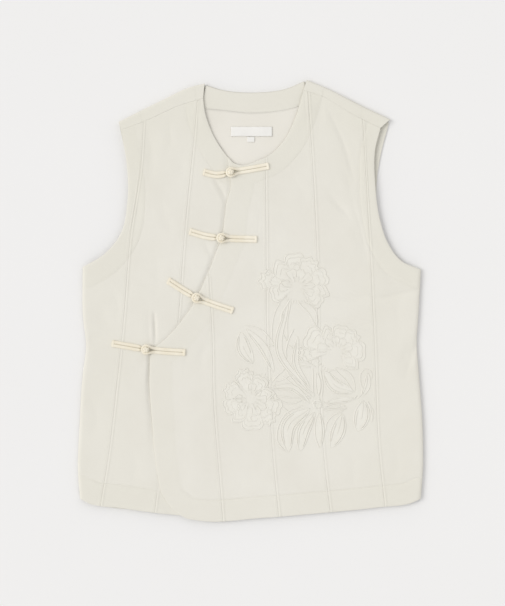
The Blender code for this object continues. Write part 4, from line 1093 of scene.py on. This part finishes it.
def build_frog(number, row):
    end, middle, knot, loop_middle, loop_end = np.array(row, float)
    base = surface_under(*knot[:, None])[0] + GAP
    path = curve((end, middle, knot))
    stations = [(length_of(path) - before, *size) for before, *size in NARROWS]
    stations.insert(0, (CORD_START, *NARROWS[0][1:]))
    arm = [arm_cord(path, stations, side) for side in (1, -1)] + [turned_end(path)]
    arm += woven_ball(*knot, base + KNOT_RISE)
    arm.append(pillow(knot, (1.0, 0.0), SHANK_WIDE, SHANK_WIDE, KNOT_RISE - SHANK_LOW, base + SHANK_LOW))

    path = curve((loop_end, loop_middle, knot))
    points = loop_path(path, base)
    away = np.linalg.norm(points[:, :2] - knot, axis=1)
    radius, flat = (np.interp(away, (LOOP_RADIUS + 1, LOOP_RADIUS + LOOP_FLATTENS), sizes)
                    for sizes in ((LOOP_CORD, CORD_RADIUS), (1, CORD_FLAT)))
    for kind, parts in (("knot", arm), ("loop", [tube(points, radius, 12, flat), turned_end(path)])):
        name = f"frog_{number}_{kind}_arm"
        add_piece(f"{name}_cords", *merged(parts), "cord", (name,))


# Embroidery: padded satin shapes with cord edges, just above the left front.

# A blossom's middle x, y, and its petals: direction, reach, half of its angle.
BLOSSOMS = {
    "blossom_top": (62, 18, ((167, 52, 16), (198, 38, 20), (133, 45, 24), (96, 45, 18), (60, 43, 22),
                             (22, 43, 18), (-12, 44, 20), (-36, 40, 14))),
    "blossom_side": (115, -68, ((183, 52, 13), (152, 48, 22), (118, 38, 20), (80, 35, 20), (42, 36, 22),
                                (0, 38, 22), (-38, 36, 20))),
    "blossom_low": (0, -131, ((106, 41, 20), (62, 33, 22), (16, 33, 20), (-20, 43, 16), (-48, 44, 16),
                              (-86, 42, 22), (235, 39, 20), (200, 38, 18), (157, 38, 20))),
    "stem_joint": (89, -138, ((90, 6, 60), (210, 6, 60), (330, 6, 60))),
}
# A petal's outline, as angle and reach from the blossom's middle, in shares of its own.
PETALS = {
    "round": ((-0.55, 0.26), (-0.85, 0.48), (-1.12, 0.74), (-0.86, 0.95), (-0.42, 1.0), (0, 0.96),
              (0.42, 1.0), (0.86, 0.95), (1.12, 0.74), (0.85, 0.48), (0.55, 0.26)),
    "ruffled": ((-0.55, 0.26), (-0.90, 0.50), (-1.15, 0.72), (-1.0, 0.88), (-0.66, 0.88), (-0.45, 1.0),
                (-0.08, 0.94), (0.30, 1.02), (0.58, 0.92), (0.98, 0.90), (1.12, 0.70), (0.85, 0.46),
                (0.55, 0.26)),
    "pointed": ((-0.55, 0.26), (-0.95, 0.46), (-1.05, 0.70), (-0.50, 0.86), (-0.15, 1.0), (0.18, 0.93),
                (0.70, 0.82), (1.0, 0.66), (0.85, 0.44), (0.55, 0.26)),
}
PETAL_ORDER = ("ruffled", "round", "pointed", "round")
PETAL_ROWS, PETAL_COLUMNS, PETAL_FROM = 11, 64, 0.22
INNER_REACH, INNER_WIDE = 0.55, 0.8  # of the second round of petals
INNER_LINES = ((12, 52), (16, 56), (10, 46))  # first and last point of the line inside a petal
VEINS = ((20, 0.50, 0.68), (32, 0.45, 0.72), (44, 0.52, 0.66))
# Root x, y, tip x, y, bow, half-width.
LEAVES = {
    "leaf_tall": (76, -120, 50, -4, 26, 4.5),
    "leaf_inner": (79, -117, 63, -48, 11.5, 4),
    "leaf_long": (31, -95, -6, -38, -5, 5.5),
    "leaf_upright": (3, -84, -13, -43, 4, 9),
    "leaf_flat": (79, -137, 24, -117, -11, 4),
    "leaf_low": (79, -144, 50, -202, -15, 9.5),
    "leaf_hanging": (85, -149, 66, -201, -5, 8),
    "bud_small": (91, -150, 92, -196, 0, 6),
    "bud_long": (122, -151, 107, -196, 2, 9),
    "bud_open": (150, -134, 142, -174, 2, 10),
    "stem_side": (98, -137, 140, -131, 2, 2.5),
    "stem_up": (90, -127, 88, -96, -1, 3),
    "sepal": (136, -122, 98, -95, 7, 8.5),
    "leaf_curled": (148, -128, 156, -97, -3, 4),
}
LEAF_BLUNT, LEAF_INSET = 0.7, 2.9
LEAF_LINED, LEAF_VEINED = 3.6, 7  # half-widths from which a leaf has a second line and a vein
LEAF_ENDS, LEAF_STEP, LEAF_COLUMNS = 0.015, 0.5, 11  # of a leaf's pad
LEAF_FULL, LEAF_SLANT = 3, 0.6  # half-width from which its pad is fully high, and how its stitches slant
# Leaves that are only outlined, with how many lines each side has.
OUTLINED = (
    (48, -54, 53, 0, 6, 4.5, 1), (88, -34, 64, -2, -6, 4.5, 1), (30, -108, 60, -82, -3, 5, 1),
    (70, -131, 34, -128, 4, 4, 1), (38, -152, 22, -118, 2, 4, 1), (112, -90, 138, -122, 6, 5, 1),
    (58, -70, 80, -84, 2, 5.5, 2), (96, -145, 128, -144, 3, 3.5, 1), (150, -146, 145, -170, 1, 4, 1),
)
# Cords sewn on alone: stems and tendrils, and short curls, which are spirals.
TENDRILS = (
    ((84, -130), (83, -112), (83, -90)),
    ((95, -129), (96, -112), (93, -93)),
    ((142, -131), (148, -124), (146, -106), (147, -97), (152, -92), (160, -95), (161, -106)),
    ((156, -134), (160, -146), (162, -160)),
    ((85, -125), (72, -116), (58, -103), (48, -90)),
    ((80, -131), (64, -119), (50, -107), (42, -101)),
    ((124, -147), (112, -152), (102, -162), (99, -176)),
    ((50, -60), (58, -64), (68, -62), (78, -66)),
    ((100, -98), (106, -94), (114, -92)),
    ((20, -66), (26, -60), (33, -62)),
    ((-8, -33), (14, -39), (33, -62), (46, -92), (60, -110), (82, -128)),
    ((43, 4), (32, -18), (28.5, -40), (28.6, -56)),
    ((58, -38), (51, -52), (47.5, -66), (48, -78)),
    ((59, -81), (72, -82), (80, -85), (87, -89)),
    ((64, -87), (72, -88), (80, -89)),
    ((33, -124), (36, -134), (43, -142), (50, -149), (51, -158)),
    ((70, -140), (48, -150), (37, -168), (36, -188), (46, -201)),
    ((94, -136), (115, -135.5), (130, -135), (142, -127)),
    ((96, -142), (112, -143), (126, -140)),
    ((156, -136), (163, -148), (161, -162)),
)
CURLS = ((-18, -142, 5.5, 2.8, 200, 0.7), (4, -158, 5.5, 3.0, 60, 0.6), (60, 44, 5.0, 2.6, 300, 0.7),
         (112, -46, 5.0, 2.6, 100, 0.6), (26, -148, 5.5, 3.0, 110, 0.6))
# Short stitches that fan out: middle x, y, first and last direction, near and far reach, how many.
FANS = ((64, 24, 222, 318, 24, 31, 13), (116, -66, 204, 250, 28, 34, 7), (0, -131, 30, 66, 34, 39, 6))

EDGE_CORD, INNER_CORD, FINE_CORD, CORD_LOW = 0.82, 0.7, 0.5, 0.6  # radii, and how low a cord lies
CORD_TIP, CORD_TAPER = 0.35, 8  # share of its radius at its ends, and how fast it swells from there
CORD_STEP, RUN_STEP, SHORTEST_RUN = 1.1, 0.6, 2.5
PAD_LIFT, PAD_STEP, PAD_HEIGHT, RIDGE, RIDGE_PITCH = 0.03, 0.02, 0.18, 0.04, 1.2
# Heights of the cords above the cloth, from the edge of a petal up to the line inside a leaf.
EDGE_LIFT, LINE_LIFT, SMALL_LIFT, CURL_LIFT, VEIN_LIFT, LEAF_LIFT = 0.2, 0.3, 0.35, 0.4, 0.42, 0.45
PETAL_BASE, PETAL_HEART = 0.1, 0.55  # shares of a petal's reach
OUTER_LINE, INNER_LINE = 0.80, 0.52  # sizes of the lines inside a petal
SURFACE_FROM, SURFACE_TO, SURFACE_STEP = (-70, -230), (190, 90), 1.25
ALLOWANCE_UNDER, ALLOWANCE_RISE = 1.7, 1.3  # how wide a seam's allowance lifts the embroidery, and how much
UNDER_EMBROIDERY = ("left_edge", "left_centre", "left_inner", "left_mid")
surface, covered = {}, []


def save_surface():
    """Heights of the left front under the embroidery, on an even grid, by row and column."""
    x, y = np.meshgrid(*(spaced(*ends, SURFACE_STEP) for ends in zip(SURFACE_FROM, SURFACE_TO)))
    surface["heights"] = over_height(x, y)
    for name in UNDER_EMBROIDERY:
        away = np.abs(x - x_on(curve(SEAMS[name]), y))
        rise = 1 - soft_step((away - ALLOWANCE_UNDER) / HOLLOW_WIDE)
        surface["heights"] += ALLOWANCE_RISE * SEAM_RIDGE * rise


def on_left(spots):
    """Height of the left front's outer face, from the saved grid."""
    place = (spots[..., :2] - SURFACE_FROM) / SURFACE_STEP
    column, row = np.moveaxis(np.floor(place).astype(int), -1, 0)
    a, b = np.moveaxis(place, -1, 0) - (column, row)
    high = surface["heights"]
    low = (1 - a) * high[row, column] + a * high[row, column + 1]
    return (1 - b) * low + b * ((1 - a) * high[row + 1, column] + a * high[row + 1, column + 1])


def laid_cord(points, radius=EDGE_CORD, lift=0.12):
    """A cord sewn along points of the left front."""
    share = np.linspace(0, 1, max(6, round(length_of(points) / CORD_STEP)))
    spots = at(points, share)
    size = radius * np.minimum(1, CORD_TIP + CORD_TAPER * np.minimum(share, 1 - share))
    return tube(np.column_stack([spots, on_left(spots) + lift]), size, 6, CORD_LOW)


def inside_of(points, outline):
    """Which points lie inside a closed outline."""
    x, y = points.T[:, :, None]
    (x1, y1), (x2, y2) = outline.T, np.roll(outline, -1, axis=0).T
    with np.errstate(divide="ignore", invalid="ignore"):
        cut = x < (x2 - x1) * (y - y1) / (y2 - y1) + x1
    return (((y1 > y) != (y2 > y)) & cut).sum(axis=1) % 2 == 1


def cords(points, outlines, *looks_like):
    """Cords along the runs of a line that no later shape covers."""
    fine = at(points, np.linspace(0, 1, max(12, round(length_of(points) / RUN_STEP))))
    keep = np.ones(len(fine), bool)
    for outline in outlines:
        keep &= ~inside_of(fine, outline)
    ends = np.flatnonzero(np.diff(np.concatenate([[0], keep, [0]])))
    runs = [fine[a:b] for a, b in zip(ends[::2], ends[1::2])]
    return [laid_cord(run, *looks_like) for run in runs if len(run) > 3 and length_of(run) > SHORTEST_RUN]


def round_at(x, y, angle, reach):
    """Points round a middle, at angles in radians."""
    return np.column_stack([x + reach * np.cos(angle), y + reach * np.sin(angle)])


def closed_pad(spots, z):
    """A pad between a grid of its upper points and the cloth below them, which share their rim."""
    rows, columns = z.shape
    lower = np.dstack([spots, on_left(spots)])
    upper = lower.copy()
    upper[1:-1, 1:-1, 2] = z[1:-1, 1:-1]
    above, below = grid_of(rows, columns), grid_of(rows, columns)
    below[1:-1, 1:-1] = grid_of(rows - 2, columns - 2, rows * columns)
    vertices = np.vstack([upper.reshape(-1, 3), lower[1:-1, 1:-1].reshape(-1, 3)])
    return vertices, grid_faces(above, upward=False) + grid_faces(below)


def petal_outline(x, y, direction, reach, half, order):
    off, far = np.array(PETALS[PETAL_ORDER[order % 4]]).T
    rows = round_at(x, y, np.radians(direction + half * off), reach * far)
    return at(curve(rows), np.linspace(0, 1, PETAL_COLUMNS + 1))


def petal(base, outline, order, above):
    """A pad with stitches that fan out from its base, and its cords where no later petal covers them."""
    share = np.linspace(PETAL_FROM, 1, PETAL_ROWS)[:, None, None]
    spots = between(base, outline[None], share)
    dome = np.sin(math.pi * (share[..., 0] - PETAL_FROM) / (1 - PETAL_FROM)) ** 0.8
    place = np.arange(len(outline))
    fold = np.minimum(1, 8 * np.minimum(place, place[::-1]) / len(outline))
    ridges = RIDGE * (1 - 2 * (place % 2))
    z = on_left(spots) + PAD_LIFT + PAD_STEP * order + (PAD_HEIGHT + ridges) * dome * fold
    parts = [closed_pad(spots, z)] + cords(outline[6:-6], above, EDGE_CORD, EDGE_LIFT)
    heart = between(base, outline.mean(axis=0), PETAL_HEART)
    first, last = INNER_LINES[order % 3]
    for size, start, end in ((OUTER_LINE, first, last),
                             (INNER_LINE, PETAL_COLUMNS - last, PETAL_COLUMNS - first - 8)):
        parts += cords(between(heart, outline, size)[start:end], above, INNER_CORD, LINE_LIFT)
    for spot, near, far in VEINS[: 2 + order % 2]:
        line = between(base, outline[spot], np.linspace(near, far, 8)[:, None])
        parts += cords(line, above, FINE_CORD)
    return parts


def inner_petals(x, y, petals):
    """Outlines of a second round of smaller petals, between the outer ones."""
    outlines = []
    for order, (one, other) in enumerate(zip(petals, petals[1:]), start=1):
        if abs(one[0] - other[0]) < 90:
            direction, reach, half = np.add(one, other) / 2
            outlines.append(petal_outline(x, y, direction, INNER_REACH * reach, INNER_WIDE * half, order))
    return outlines


def build_blossom(name, x, y, petals):
    parts, middle = [], np.array([x, y], float)
    outlines = [petal_outline(x, y, *row, order) for order, row in enumerate(petals)]
    smaller = inner_petals(x, y, petals) if len(petals) > 3 else []
    for order, ((direction, reach, _), outline) in enumerate(zip(petals, outlines)):
        base = round_at(x, y, math.radians(direction), PETAL_BASE * reach)[0]
        parts += petal(base, outline, order, outlines[order + 1:] + smaller)
    for order, outline in enumerate(smaller):
        parts += cords(outline[9:-9], smaller[order + 1:], INNER_CORD, SMALL_LIFT)
        line = between(middle, outline[len(outline) // 2], np.linspace(0.3, 0.62, 8)[:, None])
        parts.append(laid_cord(line, FINE_CORD))
    covered.extend(outlines)
    add_piece(f"{name}_stitched", *merged(parts), "thread", (name,))


def leaf_path(root_x, root_y, tip_x, tip_y, bow):
    root, tip = np.array([root_x, root_y], float), np.array([tip_x, tip_y], float)
    return curve((root, (root + tip) / 2 + bow * left_of(unit(tip - root)), tip))


def leaf_side(path, half_width, scale, first=0.0, last=1.0):
    """A line at a share of the leaf's half-width: 1 is its left edge, -1 its right edge."""
    share = between(first, last, 0.5 - 0.5 * np.cos(np.linspace(0, math.pi, 40)))
    middle, _, sideways = frame_along(path, share * length_of(path))
    half = half_width * np.sin(math.pi * np.clip(share, 0, 1)) ** LEAF_BLUNT
    return middle + (scale * half)[:, None] * sideways


def leaf_pad(path, half_width):
    """A pad of stitches laid across the leaf, slanting from its middle."""
    long = length_of(path)
    rows = np.linspace(LEAF_ENDS, 1 - LEAF_ENDS, max(20, round(long / LEAF_STEP)))
    columns = np.linspace(1, -1, LEAF_COLUMNS)
    middle, _, sideways = frame_along(path, rows * long)
    half = half_width * np.sin(math.pi * rows) ** LEAF_BLUNT
    offset = half[:, None] * columns
    spots = middle[:, None] + offset[..., None] * sideways[:, None]
    dome = (1 - columns**2) * np.minimum(1, half / LEAF_FULL)[:, None]
    phase = rows[:, None] * long + LEAF_SLANT * np.abs(offset)
    ridges = RIDGE * np.cos(2 * math.pi * phase / RIDGE_PITCH) * (dome > 0)
    return closed_pad(spots, on_left(spots) + PAD_LIFT + PAD_HEIGHT * dome + ridges)


def build_leaf(name, *row):
    path, half_width = leaf_path(*row[:-1]), row[-1]
    left, right = (leaf_side(path, half_width, side) for side in (1, -1))
    parts = [leaf_pad(path, half_width), laid_cord(left), laid_cord(right)]
    inset = 1 - LEAF_INSET / half_width
    if half_width > LEAF_LINED:
        parts.append(laid_cord(leaf_side(path, half_width, inset, 0.1, 0.88), INNER_CORD, LEAF_LIFT))
    if half_width > LEAF_VEINED:
        parts.append(laid_cord(leaf_side(path, half_width, -inset, 0.3, 0.84), INNER_CORD, LEAF_LIFT))
        parts.append(laid_cord(leaf_side(path, half_width, 0, 0.04, 0.6), FINE_CORD, VEIN_LIFT))
    covered.append(np.vstack([left, right[::-1]]))
    add_piece(f"{name}_stitched", *merged(parts), "thread", (name,))


def build_tendrils():
    """The cords that are sewn on alone, where no pad covers them."""
    parts = []
    for row in TENDRILS:
        parts += cords(curve(row), covered)
    for *row, half_width, lines in OUTLINED:
        path = leaf_path(*row)
        for line in range(lines):
            for side in (1, -1):
                inset = side * (1 - LEAF_INSET * line / half_width)
                parts += cords(leaf_side(path, half_width, inset, 0.1 * line, 1 - 0.12 * line), covered)
    for x, y, first, last, near, far, count in FANS:
        for order, direction in enumerate(np.radians(np.linspace(first, last, count))):
            line = round_at(x, y, direction, np.linspace(near, far - 2 * (order % 2), 6))
            parts += cords(line, covered, FINE_CORD)
    for x, y, near, far, first, turns in CURLS:
        angle = np.radians(first) + np.linspace(0, 2 * math.pi * turns, 28)
        parts.append(laid_cord(round_at(x, y, angle, np.linspace(near, far, 28)), INNER_CORD, CURL_LIFT))
    add_piece("tendrils", *merged(parts), "thread")


# The stage.

FLOOR_COLOUR, FLOOR_MOTTLE, FLOOR_HALF, FLOOR_LOW = (0.853, 0.846, 0.834), 0.992, 3.0, 0.3
KEY_FROM, KEY_ELEVATION, KEY_SOFTNESS = 172, 42, 36  # degrees
KEY_COLOUR, KEY_STRENGTH = (1.0, 0.99, 0.975), 1.15
WORLD_COLOUR, WORLD_STRENGTH = (0.99, 0.99, 1.0), 0.79
LENS, SENSOR = 85, 36
VIEW_HIGH = 0.806  # what the picture's height covers at the cloth, in metres
CAMERA_X, CAMERA_Y = 0.0027, -0.0037


def placed(name, data):
    obj = bpy.data.objects.new(name, data)
    bpy.context.scene.collection.objects.link(obj)
    return obj


def build_stage():
    """A pale floor, a soft light from the wearer's right, low enough to show relief, and the camera above."""
    scene = bpy.context.scene
    look = Look("floor", 0.9, specular=0.1)
    pale = tuple(FLOOR_MOTTLE * value for value in FLOOR_COLOUR)
    look.feed(look.shader["Base Color"], look.mottled(look.noise(4), (0.3, pale), (0.7, FLOOR_COLOUR)))
    mesh = bpy.data.meshes.new("floor")
    corners = [(x * FLOOR_HALF, y * FLOOR_HALF, 0) for x, y in ((-1, -1), (1, -1), (1, 1), (-1, 1))]
    mesh.from_pydata(corners, [], [(0, 1, 2, 3)])
    mesh.materials.append(look.material)
    floor = placed("floor", mesh)
    floor.location.z = -FLOOR_LOW * MM

    key = bpy.data.lights.new("key", "SUN")
    key.angle, key.energy, key.color = math.radians(KEY_SOFTNESS), KEY_STRENGTH, KEY_COLOUR
    turn, rise = math.radians(KEY_FROM), math.radians(KEY_ELEVATION)
    source = Vector((math.cos(turn) * math.cos(rise), math.sin(turn) * math.cos(rise), math.sin(rise)))
    placed("key", key).rotation_euler = source.to_track_quat("Z", "Y").to_euler()
    scene.world = bpy.data.worlds.new("studio")
    scene.world.use_nodes = True
    background = scene.world.node_tree.nodes["Background"].inputs
    background["Color"].default_value = (*WORLD_COLOUR, 1)
    background["Strength"].default_value = WORLD_STRENGTH
    camera = bpy.data.cameras.new("camera")
    camera.lens, camera.sensor_width = LENS, SENSOR
    scene.camera = placed("camera", camera)
    scene.camera.location = (CAMERA_X, CAMERA_Y, VIEW_HIGH * LENS / SENSOR + TOP * MM)
    scene.view_settings.view_transform = "Standard"


make_looks()
build_stage()
under = []
for pieces in (build_back, build_inside, build_right_front, build_left_front):
    made = pieces()
    if pieces is not build_inside:
        under = under + [obj.name for obj, _ in made]
build_stitches()
for number, row in enumerate(FROGS, start=1):
    build_frog(number, row)
save_surface()
for name, (x, y, petals) in BLOSSOMS.items():
    build_blossom(name, x, y, petals)
for name, row in LEAVES.items():
    build_leaf(name, *row)
build_tendrils()
